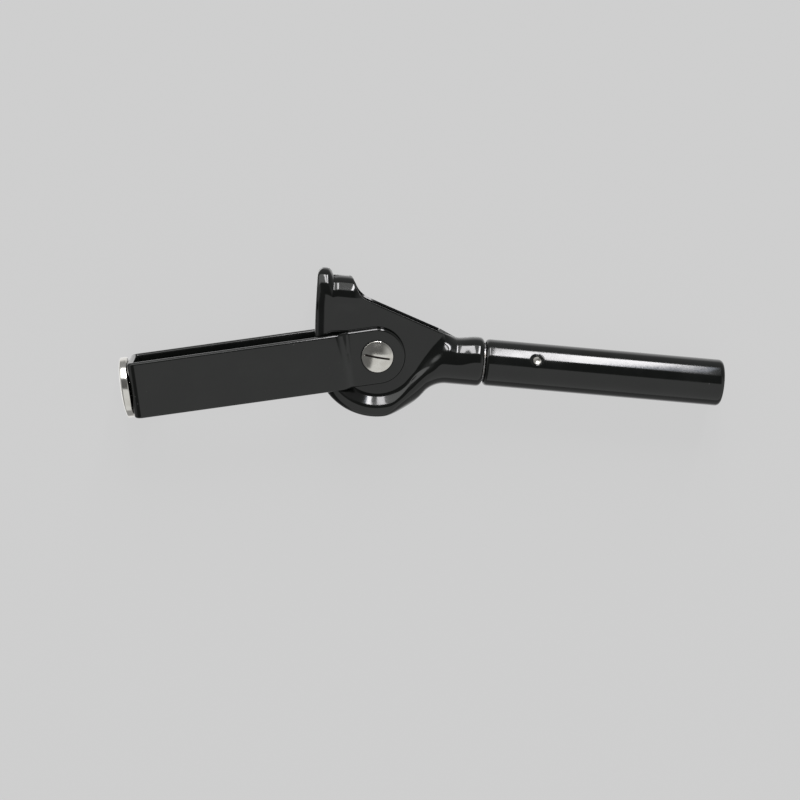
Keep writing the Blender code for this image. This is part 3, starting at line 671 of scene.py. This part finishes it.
def collarHeights(form, spots, edge):
    throat = throatCentre(form)
    x, y = spots[:, 0], spots[:, 1]
    span = np.sqrt(np.clip(form["throatRadius"] ** 2 - np.clip(throat.x - x, 0.0, None) ** 2, 0.0, None))
    lower = np.where(x < throat.x, -throat.y - span, form["collarRadius"])
    touch = throat.x * form["ringRadius"] / (form["ringRadius"] + form["throatRadius"])
    lower = np.where(x < touch, np.sqrt(np.clip(form["ringRadius"] ** 2 - x * x, 0.0, None)), lower)
    slot = edge[edge[:, 0] > 8.0 * mm]
    slot = slot[slot[:, 1] > 0.0]
    upper = np.where(x < form["collarStart"], np.interp(x, slot[:, 0], slot[:, 1]), neckRadius(form, x, 1.0))
    half = np.where(y > 0.0, upper, lower)
    radius = neckRadius(form, x, y / form["collarRadius"])
    return radius * np.sqrt(np.clip(1.0 - (y / np.maximum(half, 0.1 * mm)) ** 2, 0.0, None))


def cheekHeights(form, spots, edge, forms):
    gap, first, share = nearestOnEdge(spots, edge)
    local = forms[first] + share[:, None] * (forms[first + 1] - forms[first])
    rise, run, drop, rim, fillet = local.T
    lip = rise / form["rimRise"] * (1.0 - smoothStep((gap - rim) / fillet))
    swell = smoothStep((spots[:, 1] - form["swellFrom"]) / form["swellRun"])
    swell = swell * (1.0 - smoothStep((spots[:, 0] - form["beakCornerX"]) / (14.0 * mm)))
    level = form["floorDepth"] + form["rimRise"] * (1.0 - (1.0 - lip) * (1.0 - swell))
    inward = 1.0 - np.clip(gap / run, 0.0, 1.0)
    eased = level - drop * (1.0 - np.sqrt(1.0 - inward * inward))
    height = roofHeights(form, spots, eased)
    blend = smoothStep(((spots - form["wallCorner"]) @ form["wallNormal"]) / form["wallRun"])
    return np.maximum(0.0, height + blend * (collarHeights(form, spots, edge) - height))


def cheekSkin(form):
    outline = knuckleOutline(form)
    # between even angles and even widths, so the rays stay apart at the sides
    collarCount = 80
    turned = np.arange(collarCount + 1) / collarCount
    angles = 0.5 * np.pi * turned + 0.5 * np.arccos(1.0 - 2.0 * turned)
    neckSpan = neckRadius(form, form["collarStart"], np.cos(angles))
    edge = np.array([tuple(spot) for spot, _ in outline] + [(form["collarStart"], neckSpan[0])])
    forms = softenForms(np.array([edgeForm(form, spot, stretch) for spot, stretch in outline]), 60)
    forms = np.vstack((forms, forms[-1:]))
    collarSpots = np.stack((np.full(len(angles), form["collarStart"]), neckSpan * np.cos(angles)), axis=1)
    around = np.vstack((edge[:-1], collarSpots[:-1]))
    openEdge = [stretch == "slot" for _, stretch in outline] + [False] + [True] * (collarCount - 1)

    # each ray runs from the edge in to the hub, closer set near the edge
    share = np.arange(form["ringCount"]) / form["ringCount"]
    inward = 0.25 * share + 0.75 * share**2
    length = np.linalg.norm(around, axis=1)
    ray = around / length[:, None]
    travel = inward[None] * (length - form["hubRadius"])[:, None]
    spots = around[:, None] - ray[:, None] * travel[..., None]
    heights = cheekHeights(form, spots.reshape(-1, 2), edge, forms).reshape(len(around), -1)

    depth = form["ringCount"] + 3
    points = []
    for i in range(len(around)):
        foot = heights[i, 0] if openEdge[i] else -form["skirt"]
        points.append((*around[i], foot))
        points += [(*spots[i, k], heights[i, k]) for k in range(form["ringCount"])]
        for radius in (form["hubRadius"], form["pivotHole"]):
            points.append((*(ray[i] * radius), form["floorDepth"]))
    faces = []
    for i in range(len(around)):
        j = (i + 1) % len(around)
        for k in range(0 if i < len(around) - collarCount else 1, depth - 1):
            faces.append((i * depth + k, i * depth + k + 1, j * depth + k + 1, j * depth + k))

    lipRun, lipDrop = form["collarLip"]
    rows = [(form["collarStart"] + i * 1.2 * mm, 0.0) for i in range(8)]
    for i in range(10):
        bend = math.radians(80.0) * i / 9
        rows.append((form["collarEnd"] - lipRun * (1.0 - math.sin(bend)), lipDrop * (1.0 - math.cos(bend))))
    base, wide = len(points), collarCount + 3
    for x, drop in rows:
        span = neckRadius(form, x, np.cos(angles)) - drop
        points.append((x, span[0], -form["skirt"]))
        points += [(x, r * math.cos(angle), r * math.sin(angle)) for r, angle in zip(span, angles)]
        points.append((x, -span[-1], -form["skirt"]))
    for row in range(len(rows) - 1):
        for i in range(wide - 1):
            low = base + row * wide + i
            faces.append((low, low + 1, low + wide + 1, low + wide))
    return points, faces


def addCheek(name, side, node, form):
    points, faces = cheekSkin(form)
    if side < 0:
        points = [(x, y, -z) for x, y, z in points]
        faces = [face[::-1] for face in faces]
    mesh = meshFrom(name, points, faces)
    mergeClose(mesh, 0.004 * mm)
    mesh.transform(Matrix.Translation(pivot))
    cheek = addObject(name, mesh)
    sheet = cheek.modifiers.new("sheet", "SOLIDIFY")
    sheet.thickness = form["sheet"]
    sheet.offset = -1.0
    block = 10.0 * form["sheet"]
    middle = pivot + Vector((0.0, 0.0, side * (form["seam"] - block / 2.0)))
    cutter = boxCutter(f"{name}Trim", (0.2, 0.2, block), Matrix.Translation(middle))
    cutAway(cheek, cutter, "MANIFOLD")
    easeEdges(cheek, form["edgeEase"], 60.0)
    applySteps(cheek, [cutter], 60.0)
    finishPiece(cheek, "handle", blackEnamel, [node])


print("knuckle")
addCheek("nearCheek", 1, "near_cheek", cheekForm)
addCheek("farCheek", -1, "far_cheek", cheekForm)


# the U-shaped strap

strapForm = {
    "width": 25.4 * mm,
    "thickness": 3.0 * mm,
    "reach": 111.4 * mm,
    "depth": cadBox[1][2] - pivot.z,
    "eyeDepth": 10.75 * mm,
    "bend": 3.7 * mm,
    "droop": math.radians(13.1),
    "joggle": (11.3 * mm, 17.5 * mm),
    "eyeHole": 4.0 * mm,
    "studHole": 3.4 * mm,
    "edgeRun": 1.15 * mm,
}
strapFrame = Matrix.Translation(pivot) @ Matrix.Rotation(math.pi + strapForm["droop"], 4, "Z")
acrossStrap = strapFrame @ Matrix.Rotation(math.pi / 2.0, 4, "Y")  # local +Z along the strap's +X


def strapPath(form):
    # (x, z) spots on the bent bar's middle line, from the near eye round to the far one
    middle = form["thickness"] / 2.0
    start, end = form["joggle"]
    low, high = form["eyeDepth"] - middle, form["depth"] - middle
    bend = form["bend"] - middle
    spots = [(-form["width"] / 2.0 + i * mm, low) for i in range(int((start + form["width"] / 2.0) / mm))]
    for i in range(17):
        spots.append((start + (end - start) * i / 16, low + float(smoothStep(i / 16)) * (high - low)))
    straight = form["reach"] - form["bend"] - end
    spots += [(end + straight * i / 20, high) for i in range(1, 20)]
    for i in range(13):
        angle = math.pi / 2.0 * i / 12
        x = form["reach"] - form["bend"] + bend * math.sin(angle)
        spots.append((x, high - bend * (1.0 - math.cos(angle))))
    return spots + [(x, -z) for x, z in reversed(spots)]


def edgeRings(form):
    # (inset from the blank's outline, height off its middle) round the bar's eased edge, face to face
    half, run = form["thickness"] / 2.0, form["edgeRun"]
    rings = []
    for i in range(13):
        angle = math.pi * i / 12
        rings.append((run * (1.0 - math.sin(angle)), half * math.cos(angle)))
    return rings


def addStrap(form):
    # the blank is a long bar with round ends, laid along the path by its distance from the first end
    path = strapPath(form)
    along = [0.0]
    for before, after in zip(path, path[1:]):
        along.append(along[-1] + math.dist(before, after))
    length, half = along[-1], form["width"] / 2.0
    endSteps, clear, glance = 30, 0.4 * mm, 0.3 * mm
    stations = [half * (1.0 - math.cos(math.pi / 2.0 * i / endSteps)) for i in range(endSteps + 1)]
    stations += [s for s in along if half + clear < s < length - half - clear]
    stations += [length - s for s in reversed(stations[: endSteps + 1])]
    path, along = np.array(path), np.array(along)

    def onPath(s):
        return np.interp(s, along, path[:, 0]), np.interp(s, along, path[:, 1])

    def laid(s, w, t):
        # a spot of the blank: s along it, w across it and t off its middle
        (x, z), ahead, behind = onPath(s), onPath(s + glance), onPath(s - glance)
        way = Vector((ahead[0] - behind[0], ahead[1] - behind[1])).normalized()
        return (x - way.y * t, w, z + way.x * t)

    outline = []
    for s in stations:
        end = min(s, length - s)
        wide = math.sqrt(max(0.0, half * half - (half - end) ** 2)) if end < half else half
        # share of the outline's normal that points along the bar
        towards = 0.0 if end >= half else (half - end) / half * (-1.0 if s < length / 2.0 else 1.0)
        outline.append((s, wide, towards, math.sqrt(1.0 - towards * towards)))
    loop = outline + [(s, -w, n, -m) for s, w, n, m in reversed(outline[1:-1])]
    rings = edgeRings(form)
    points, faces = [], []
    for inset, height in rings:
        for s, w, n, m in loop:
            points.append(laid(s - inset * n, w - inset * m, height))
    count = len(loop)
    for ring in range(len(rings) - 1):
        for i in range(count):
            j = (i + 1) % count
            faces.append((ring * count + i, (ring + 1) * count + i, (ring + 1) * count + j, ring * count + j))
    top, bottom = 0, (len(rings) - 1) * count
    last = len(outline) - 1
    for i in range(last):
        upper, lower = (count - i) % count, (count - i - 1) % count
        if i + 1 == last:
            lower = last
        quad = [i, i + 1, lower, upper]
        for base, way in ((top, 1), (bottom, -1)):
            ring = list(dict.fromkeys(base + corner for corner in quad))
            faces.append(tuple(ring[::way]))
    mesh = meshFrom("strapYoke", points, faces)
    mergeClose(mesh, 0.002 * mm)
    shell = bmesh.new()
    shell.from_mesh(mesh)
    bmesh.ops.recalc_face_normals(shell, faces=shell.faces)
    shell.to_mesh(mesh)
    shell.free()
    mesh.transform(strapFrame)
    strap = addObject("strapYoke", mesh)
    turned = strapFrame @ Matrix.Rotation(0.03, 4, "Z")
    eye = cylinderCutter("eyeCutter", form["eyeHole"], 80.0 * mm, turned)
    atStud = strapFrame @ Matrix.Translation((form["reach"], 0, 0)) @ Matrix.Rotation(math.pi / 2, 4, "Y")
    stud = cylinderCutter("studCutter", form["studHole"], 12.0 * mm, atStud)
    cutAway(strap, eye)
    cutAway(strap, stud)
    applySteps(strap, [eye, stud], 32.0)
    finishPiece(strap, "strap", strapEnamel, ["strap_yoke"])


print("strap")
addStrap(strapForm)


# screw, sleeve and washers of the pivot

headForm = {
    "radius": (screwHigh[0] - screwLow[0]) / 2.0,
    "top": screwHigh[2] - pivot.z,
    "seat": screwHigh[2] - pivot.z - 2.15 * mm,
    "shank": 2.5 * mm,
    "dome": 1.55 * mm,
    "edge": 0.6 * mm,
    "sleeveRadius": 3.6 * mm,
    "sleeveBore": 2.8 * mm,
    "washerBore": 3.9 * mm,
}


def addPivotScrew(form):
    top, radius, seat = form["top"], form["radius"], form["seat"]
    foot = screwLow[2] - pivot.z
    dome = []
    for i in range(9):
        share = i / 8
        dome.append((share * (radius - form["edge"]), top - form["dome"] * share * share))
    rim = roundedProfile(
        [dome[-1], (radius, top - form["dome"] - 0.15 * mm), (radius, seat), (form["shank"], seat)],
        [0.0, 0.2 * mm, 0.1 * mm, 0.0],
    )
    profile = dome[:-1] + [tuple(spot) for spot in rim]
    profile += [(form["shank"], foot + 0.3 * mm), (form["shank"] - 0.3 * mm, foot), (0.0, foot)]
    screw = addTurned("pivotScrew", profile, Matrix.Translation(pivot))
    place = Matrix.Translation(pivot + Vector((0, 0, top))) @ Matrix.Rotation(driverSlot["turn"], 4, "Z")
    size = (driverSlot["length"], driverSlot["width"], 2.0 * driverSlot["depth"])
    cutter = boxCutter("slotCutter", size, place)
    cutAway(screw, cutter)
    easeEdges(screw, 0.09 * mm, 50.0)
    applySteps(screw, [cutter], 40.0)
    finishPiece(screw, "handle", screwNickel, ["pivot_screw"])


def addPivotSleeve(form):
    top, radius, seat, edge = form["top"], form["radius"], form["seat"], form["edge"]
    bore, barrel = form["sleeveBore"], form["sleeveRadius"]
    mouth = sleeveHigh[2] - pivot.z
    bottom = screwLow[2] - pivot.z - 0.3 * mm
    corners = [(0.0, bottom), (bore, bottom), (bore, mouth), (barrel, mouth),
               (barrel, -seat), (radius, -seat), (radius, -top), (0.0, -top)]
    radii = [0.0, 0.0, 0.1 * mm, 0.1 * mm, 0.0, 0.12 * mm, edge, 0.0]
    profile = [tuple(spot) for spot in roundedProfile(corners, radii)]
    sleeve = addTurned("pivotSleeve", profile, Matrix.Translation(pivot))
    finishPiece(sleeve, "handle", pivotNickel, ["pivot_sleeve"])


def ringProfile(outer, inner, low, high, ease):
    corners = [(outer, high), (outer, low), (inner, low), (inner, high)]
    made = []
    for i, corner in enumerate(corners):
        point = Vector(corner)
        before, after = Vector(corners[i - 1]), Vector(corners[(i + 1) % 4])
        for towards in ((before - point).normalized(), (after - point).normalized()):
            made.append(tuple(point + towards * ease))
    return made


def addHeadWashers(form):
    for name, node in (("nearHeadWasher", "near_head_washer"), ("farHeadWasher", "far_head_washer")):
        low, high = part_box(node)
        outer, bottom, top = (high[0] - low[0]) / 2.0, low[2] - pivot.z, high[2] - pivot.z
        profile = ringProfile(outer, form["washerBore"], bottom, top, 0.12 * mm)
        washer = addTurned(name, profile, Matrix.Translation(pivot), closed=True)
        finishPiece(washer, "handle", blackFibre, [node])


print("pivot")
addPivotScrew(headForm)
addPivotSleeve(headForm)
addHeadWashers(headForm)


# the round button and what holds it to the strap

buttonForm = {
    "radius": 13.65 * mm,
    "edge": 2.9 * mm,
    "dome": 1.8 * mm,
    "gap": 0.3 * mm,
    "stud": 3.0 * mm,
    "studLength": 12.6 * mm,
    "washer": (7.0 * mm, 1.2 * mm),
    "lockWasher": (5.6 * mm, 1.4 * mm, 1.0 * mm),
    "nut": (10.0 * mm, 5.0 * mm),
}


def addEndButton(form, strap):
    seat = strap["reach"] + form["gap"]
    face, radius = seat + form["edge"], form["radius"]
    dome = []
    for i in range(25):
        angle = math.pi / 2.0 * (1.0 - i / 24)
        dome.append((radius * math.cos(angle), face + form["dome"] * math.sin(angle)))
    tip = seat - form["studLength"]
    back = roundedProfile(
        [(radius, face - 0.4 * mm), (radius, seat), (form["stud"], seat), (form["stud"], tip), (0.0, tip)],
        [0.0, 0.7 * mm, 0.0, 0.3 * mm, 0.0],
    )
    profile = dome + [tuple(spot) for spot in back]
    button = addTurned("endButton", profile, acrossStrap, sides=128)
    centre = tuple(acrossStrap @ Vector((0.0, 0.0, face)))
    nickel = makeNickel("buttonNickel", nickelLook, centre, (1.0, 1.0, 1.0), 5000.0)
    finishPiece(button, "strap", nickel, ["end_button"])


def addEndFixings(form, strap):
    innerFace = strap["reach"] - strap["thickness"]
    bore = form["stud"] + form["gap"]
    outer, thick = form["washer"]
    low = innerFace - form["gap"] - thick
    profile = ringProfile(outer, bore, low, low + thick, 0.15 * mm)
    washer = addTurned("endWasher", profile, acrossStrap, closed=True)
    finishPiece(washer, "strap", innerSteel, ["end_washer"])

    outer, thick, slit = form["lockWasher"]
    low = low - form["gap"] - thick
    profile = ringProfile(outer, bore, low, low + thick, 0.12 * mm)
    lock = addTurned("endLockWasher", profile, acrossStrap, closed=True)
    place = acrossStrap @ Matrix.Translation((outer, 0, low)) @ Matrix.Rotation(0.35, 4, "X")
    cutter = boxCutter("slitCutter", (2.0 * (outer - form["stud"]), slit, 4.0 * thick), place)
    cutAway(lock, cutter)
    applySteps(lock, [cutter], 40.0)
    finishPiece(lock, "strap", innerSteel, ["end_lock_washer"])

    flats, tall = form["nut"]
    middle = low - form["gap"] - tall / 2.0
    wide = flats / 2.0 / math.cos(math.radians(30.0))
    place = acrossStrap @ Matrix.Translation((0, 0, middle))
    nut = addObject("endNut", prismMesh("endNut", 6, wide, tall, place))
    half = tall / 2.0
    crown = [(0.0, half), (flats / 2.0 * 0.97, half), (wide * 1.02, half - 0.9 * mm),
             (wide * 1.02, 0.9 * mm - half), (flats / 2.0 * 0.97, -half), (0.0, -half)]
    crowner = addCutter("nutCrown", turnedMesh("nutCrown", crown, 64, place))
    shape = nut.modifiers.new("crown", "BOOLEAN")
    shape.operation = "INTERSECT"
    shape.object = crowner
    hole = cylinderCutter("nutHole", bore, 4.0 * tall, place)
    cutAway(nut, hole)
    easeEdges(nut, 0.12 * mm, 30.0)
    applySteps(nut, [crowner, hole], 35.0)
    finishPiece(nut, "strap", innerSteel, ["end_nut"])


print("button")
addEndButton(buttonForm, strapForm)
addEndFixings(buttonForm, strapForm)


# the handle: tube with its staked dimple, pin and end plug

handleForm = {
    "radius": (tubeHigh[2] - tubeLow[2]) / 2.0,
    "start": tubeLow[0],
    "end": tubeHigh[0],
    "bore": 8.65 * mm,
    "lip": (2.2 * mm, 1.7 * mm),
    "sides": 256,
    "pinX": 72.0 * mm,
    "pinTurn": math.radians(24.5),
    "pitRadius": 2.0 * mm,
    "pitDepth": 0.9 * mm,
    "dishRadius": 3.4 * mm,
    "dishDepth": 0.24 * mm,
    "pinRadius": 1.85 * mm,
    "pinCup": (1.75 * mm, 0.55 * mm),
    "plugSteps": (0.62, 0.66, 0.9),  # shares of the plug's radius: raised middle, start and end of the groove
}


def staked(form, x, angle, radius):
    # pushes the wall in at the two ends of the cross pin: a wide dish with a steeper pit in it
    middle = math.pi / 2.0 - form["pinTurn"]
    deepest = 0.0
    for pinAngle in (middle, middle + math.pi):
        turn = (angle - pinAngle + math.pi) % (2.0 * math.pi) - math.pi
        across = turn * form["radius"]
        gap = math.hypot(x - form["pinX"], across)
        outward = (gap - 0.65 * form["dishRadius"]) / (0.35 * form["dishRadius"])
        dish = form["dishDepth"] * float(1.0 - smoothStep(outward))
        pit = form["pitDepth"] * math.sqrt(max(0.0, 1.0 - (gap / form["pitRadius"]) ** 2))
        deepest = max(deepest, dish + pit)
    return radius - deepest


def addTube(form):
    radius, sides = form["radius"], form["sides"]
    lipRun, lipDrop = form["lip"]
    bends = [math.radians(90.0) * i / 10 for i in range(11)]
    rows = [(form["start"] + lipRun * (1.0 - math.cos(bend)), radius - lipDrop * (1.0 - math.sin(bend)))
            for bend in bends]
    # rows stand close together only round the pin
    near, far = form["pinX"] - 7.0 * mm, form["pinX"] + 7.0 * mm
    x = rows[-1][0]
    rows += [(x + (near - x) * i / 6, radius) for i in range(1, 6)]
    rows += [(near + (far - near) * i / 48, radius) for i in range(49)]
    last = form["end"] - lipRun
    rows += [(far + (last - far) * i / 12, radius) for i in range(1, 12)]
    rows += [(last + lipRun * math.sin(bend), radius - lipDrop * (1.0 - math.cos(bend))) for bend in bends]
    outerCount = len(rows)
    rows += [(form["end"], form["bore"]), (form["end"] - 3.0 * mm, form["bore"])]
    rows += [(form["start"] + 3.0 * mm, form["bore"]), (form["start"], form["bore"])]
    points = []
    for number, (x, r) in enumerate(rows):
        for i in range(sides):
            angle = 2.0 * math.pi * i / sides
            local = staked(form, x, angle, r) if number < outerCount else r
            points.append((x, local * math.cos(angle), local * math.sin(angle)))
    faces = []
    for number in range(len(rows)):
        ahead = (number + 1) % len(rows)
        for i in range(sides):
            j = (i + 1) % sides
            faces.append((number * sides + i, ahead * sides + i, ahead * sides + j, number * sides + j)[::-1])
    mesh = meshFrom("handleTube", points, faces)
    mesh.transform(Matrix.Translation(pivot))
    tube = addObject("handleTube", mesh)
    smoothBelow(mesh, 50.0)
    finishPiece(tube, "handle", tubeEnamel, ["handle_tube"])


def addCrossPin(form):
    # its ends are spun open, so they read as small bare cups in the dimples
    half = form["radius"] - 1.0 * mm
    cupRadius, cupDepth = form["pinCup"]
    profile = []
    for i in range(9):
        share = i / 8
        profile.append((cupRadius * share, half + cupDepth * share * share - 0.1 * mm))
    profile.append((form["pinRadius"], half + 0.3 * mm))
    profile += [(radius, -height) for radius, height in reversed(profile)]
    turn = Matrix.Rotation(-form["pinTurn"], 4, "X")
    place = Matrix.Translation(pivot + Vector((form["pinX"], 0, 0))) @ turn
    pin = addTurned("crossPin", profile, place, sides=40)
    finishPiece(pin, "handle", barePin, ["cross_pin"])


def addEndPlug(form):
    radius = (plugHigh[2] - plugLow[2]) / 2.0
    face, back = plugHigh[0], plugLow[0]
    raised, inner, outer = (share * radius for share in form["plugSteps"])
    profile = roundedProfile(
        [(0.0, face), (raised, face - 0.1 * mm), (inner, face - 0.5 * mm), (outer, face - 0.5 * mm),
         (radius, face - 0.8 * mm), (radius, back), (0.0, back)],
        [0.0, 0.3 * mm, 0.2 * mm, 0.3 * mm, 0.2 * mm, 0.5 * mm, 0.0],
    )
    place = Matrix.Translation((0, 0, pivot.z)) @ Matrix.Rotation(math.pi / 2.0, 4, "Y")
    plug = addTurned("handleEndPlug", [tuple(spot) for spot in profile], place)
    finishPiece(plug, "handle", plugPlastic, ["handle_end_plug"])


print("handle")
pinCentre = (handleForm["pinX"], 0.0, pivot.z)
barePin = makeTurnedMetal("barePin", (0.62, 0.61, 0.58), (0.32, 0.30, 0.27), pinCentre, (1.0, 1.0, 1.0), 0.22)
addTube(handleForm)
addCrossPin(handleForm)
addEndPlug(handleForm)

# inner pieces keep their own shapes and take the finer finishes
innerFinishes = {
    "spacer_bush": (pivotSteel, "plain_steel"),
    "near_flange_bush": (bushBronze, "bearing_bronze"),
    "far_flange_bush": (bushBronze, "bearing_bronze"),
    "handle_spigot": (innerSteel, "plain_steel"),
}
for node, (material, slotName) in innerFinishes.items():
    nodes[node].data.materials.clear()
    nodes[node].data.materials.append(material)


# the room: pale floor, one tall pair of windows to the far side, bright wall and ceiling behind

roomForm = {
    "floorColour": (0.05, 0.05, 0.05),
    "floorGlow": 0.575,
    "floorFar": 0.30,
    "floorNear": 0.95,
    "reach": 9.0,
    "ceiling": 0.80,
    "dark": 0.13,
    "sideDark": 0.16,
    "sideLight": 0.62,
    "wall": 2.0,
    "gap": 1.6,
    "windowStrength": 21.0,
    "windowReach": 8.0,
    "windowTilt": (47.0, 86.0),
    # side angles in degrees, share of the strength, colour
    "windows": {
        "windowRight": (5.3, 11.0, 1.0, (1.0, 0.985, 1.0)),
        "windowLeft": (-13.0, -3.0, 0.6, (1.0, 0.985, 1.0)),
        "windowBlue": (11.0, 13.4, 0.16, (0.80, 0.86, 1.0)),
    },
}


def addFloor(form):
    # pale and evenly lit from above; its reflection falls off away from the part
    material, tree, shader = newMaterial("paleFloor")
    place = tree.nodes.new("ShaderNodeTexCoord").outputs["Object"]
    cloud = noiseNode(tree, place, 3.0, 3.0)
    tone = tuple(value * 0.97 for value in form["floorColour"])
    tree.links.new(mixColours(tree, cloud, form["floorColour"], tone), shader.inputs["Base Color"])
    shader.inputs["Roughness"].default_value = 0.9
    shader.inputs["Specular IOR Level"].default_value = 0.0
    shader.inputs["Emission Color"].default_value = (1.0, 1.0, 1.0, 1.0)
    incoming = tree.nodes.new("ShaderNodeSeparateXYZ")
    tree.links.new(tree.nodes.new("ShaderNodeNewGeometry").outputs["Incoming"], incoming.inputs[0])
    upright = mathNode(tree, "ABSOLUTE", incoming.outputs["Z"])
    steep = rangeNode(tree, upright, 0.55, 0.8, form["floorFar"], form["floorNear"])
    seen = tree.nodes.new("ShaderNodeLightPath").outputs["Is Camera Ray"]
    shown = mathNode(tree, "MULTIPLY", mathNode(tree, "SUBTRACT", 1.0, seen), steep)
    shown = mathNode(tree, "ADD", shown, mathNode(tree, "MULTIPLY", seen, form["floorGlow"]))
    tree.links.new(shown, shader.inputs["Emission Strength"])
    half = form["reach"]
    corners = [(-half, -half, floorZ), (half, -half, floorZ), (half, half, floorZ), (-half, half, floorZ)]
    floor = addObject("floor", meshFrom("floor", corners, [(0, 1, 2, 3)]))
    floor.data.materials.append(material)


def addRamp(tree, value, stops):
    # stops are (degrees from -180 to 180, level)
    share = mathNode(tree, "ADD", mathNode(tree, "DIVIDE", value, 2.0 * math.pi), 0.5)
    ramp = tree.nodes.new("ShaderNodeValToRGB")
    tree.links.new(share, ramp.inputs["Fac"])
    elements = ramp.color_ramp.elements
    while len(elements) < len(stops):
        elements.new(0.5)
    for element, (degrees, level) in zip(elements, stops):
        element.position = degrees / 360.0 + 0.5
        element.color = (level, level * 1.01, level, 1.0)
    return ramp.outputs["Color"]


def addRoomLight(form):
    # tip leans from straight up towards the far side, side towards the handle's end
    world = bpy.data.worlds.new("room")
    bpy.context.scene.world = world
    world.use_nodes = True
    tree = world.node_tree
    back = tree.nodes["Background"]
    way = tree.nodes.new("ShaderNodeSeparateXYZ")
    tree.links.new(tree.nodes.new("ShaderNodeTexCoord").outputs["Generated"], way.inputs[0])
    tip = mathNode(tree, "ARCTAN2", way.outputs["Y"], way.outputs["Z"])
    side = mathNode(tree, "ARCSINE", way.outputs["X"])
    ceiling, dark, light, dim = form["ceiling"], form["dark"], form["sideLight"], form["sideDark"]
    wall, gap = form["wall"], form["gap"]
    near = addRamp(tree, side, [(-90, light), (-66, light), (-52, dim), (-19, dim),
                                (-12, ceiling), (90, ceiling)])
    middle = addRamp(tree, side, [(-90, light), (-62, light), (-46, dim), (-20, dark), (16, dark),
                                  (36, 0.45), (60, ceiling), (90, ceiling)])
    far = addRamp(tree, side, [(-90, light), (-60, wall), (-16, wall), (-9, gap), (9, gap),
                               (15, 0.3), (90, 0.3)])
    toMiddle = rangeNode(tree, tip, math.radians(1.0), math.radians(5.0), 0.0, 1.0)
    toFar = rangeNode(tree, tip, math.radians(42.0), math.radians(47.0), 0.0, 1.0)
    shown = mixColours(tree, toFar, mixColours(tree, toMiddle, near, middle), far)
    seen = tree.nodes.new("ShaderNodeLightPath").outputs["Is Camera Ray"]
    tree.links.new(mixColours(tree, seen, shown, (0.60, 0.60, 0.60)), back.inputs["Color"])
    back.inputs["Strength"].default_value = 1.0


def addWindow(name, form):
    # a pane seen from the pivot between two side angles towards +X and two tilts from straight up
    fromAngle, toAngle, share, colour = form["windows"][name]
    lowTilt, highTilt = form["windowTilt"]
    reach = form["windowReach"]
    middle = math.radians((lowTilt + highTilt) / 2.0)
    side = math.radians((fromAngle + toAngle) / 2.0)
    way = Vector((math.sin(side), math.cos(side) * math.sin(middle), math.cos(side) * math.cos(middle)))
    light = bpy.data.lights.new(name, "AREA")
    light.shape = "RECTANGLE"
    light.size = 2.0 * reach * math.tan(math.radians(toAngle - fromAngle) / 2.0)
    light.size_y = 2.0 * reach * math.tan(math.radians(highTilt - lowTilt) / 2.0)
    light.energy = share * form["windowStrength"] * math.pi * light.size * light.size_y
    light.color = colour
    lamp = bpy.data.objects.new(name, light)
    bpy.context.scene.collection.objects.link(lamp)
    lamp.location = pivot + reach * way
    lamp.rotation_mode = "QUATERNION"
    lamp.rotation_quaternion = way.to_track_quat("Z", "Y")
    lamp.visible_camera = False


addFloor(roomForm)
addRoomLight(roomForm)
for windowName in roomForm["windows"]:
    addWindow(windowName, roomForm)


# the camera looks down on the lever from the beak's side

cameraForm = {
    "roll": math.radians(5.03),
    "tilt": math.radians(10.3),
    "swing": math.radians(2.6),
    "distance": 1.0205,
    "lens": 101.0,
    "aim": (10.8 * mm, -21.8 * mm),
}


def addCamera(form):
    right = Vector((math.cos(form["roll"]), math.sin(form["roll"]), 0.0))
    up = Vector((-math.sin(form["roll"]), math.cos(form["roll"]), 0.0))
    target = pivot + form["aim"][0] * right + form["aim"][1] * up
    back = Vector((0, 0, 1)) * math.cos(form["tilt"]) * math.cos(form["swing"])
    back += up * math.sin(form["tilt"]) - right * math.sin(form["swing"]) * math.cos(form["tilt"])
    back.normalize()
    side = (right - right.dot(back) * back).normalized()
    head = back.cross(side)
    lens = bpy.data.cameras.new("camera")
    lens.lens = form["lens"]
    lens.sensor_width = 36.0
    lens.clip_start = 0.05
    lens.clip_end = 50.0
    camera = bpy.data.objects.new("camera", lens)
    bpy.context.scene.collection.objects.link(camera)
    turn = Matrix((side, head, back)).transposed().to_4x4()
    camera.matrix_world = Matrix.Translation(target + form["distance"] * back) @ turn
    bpy.context.scene.camera = camera


addCamera(cameraForm)
bpy.context.scene.view_settings.view_transform = "Standard"
print("room and camera set")
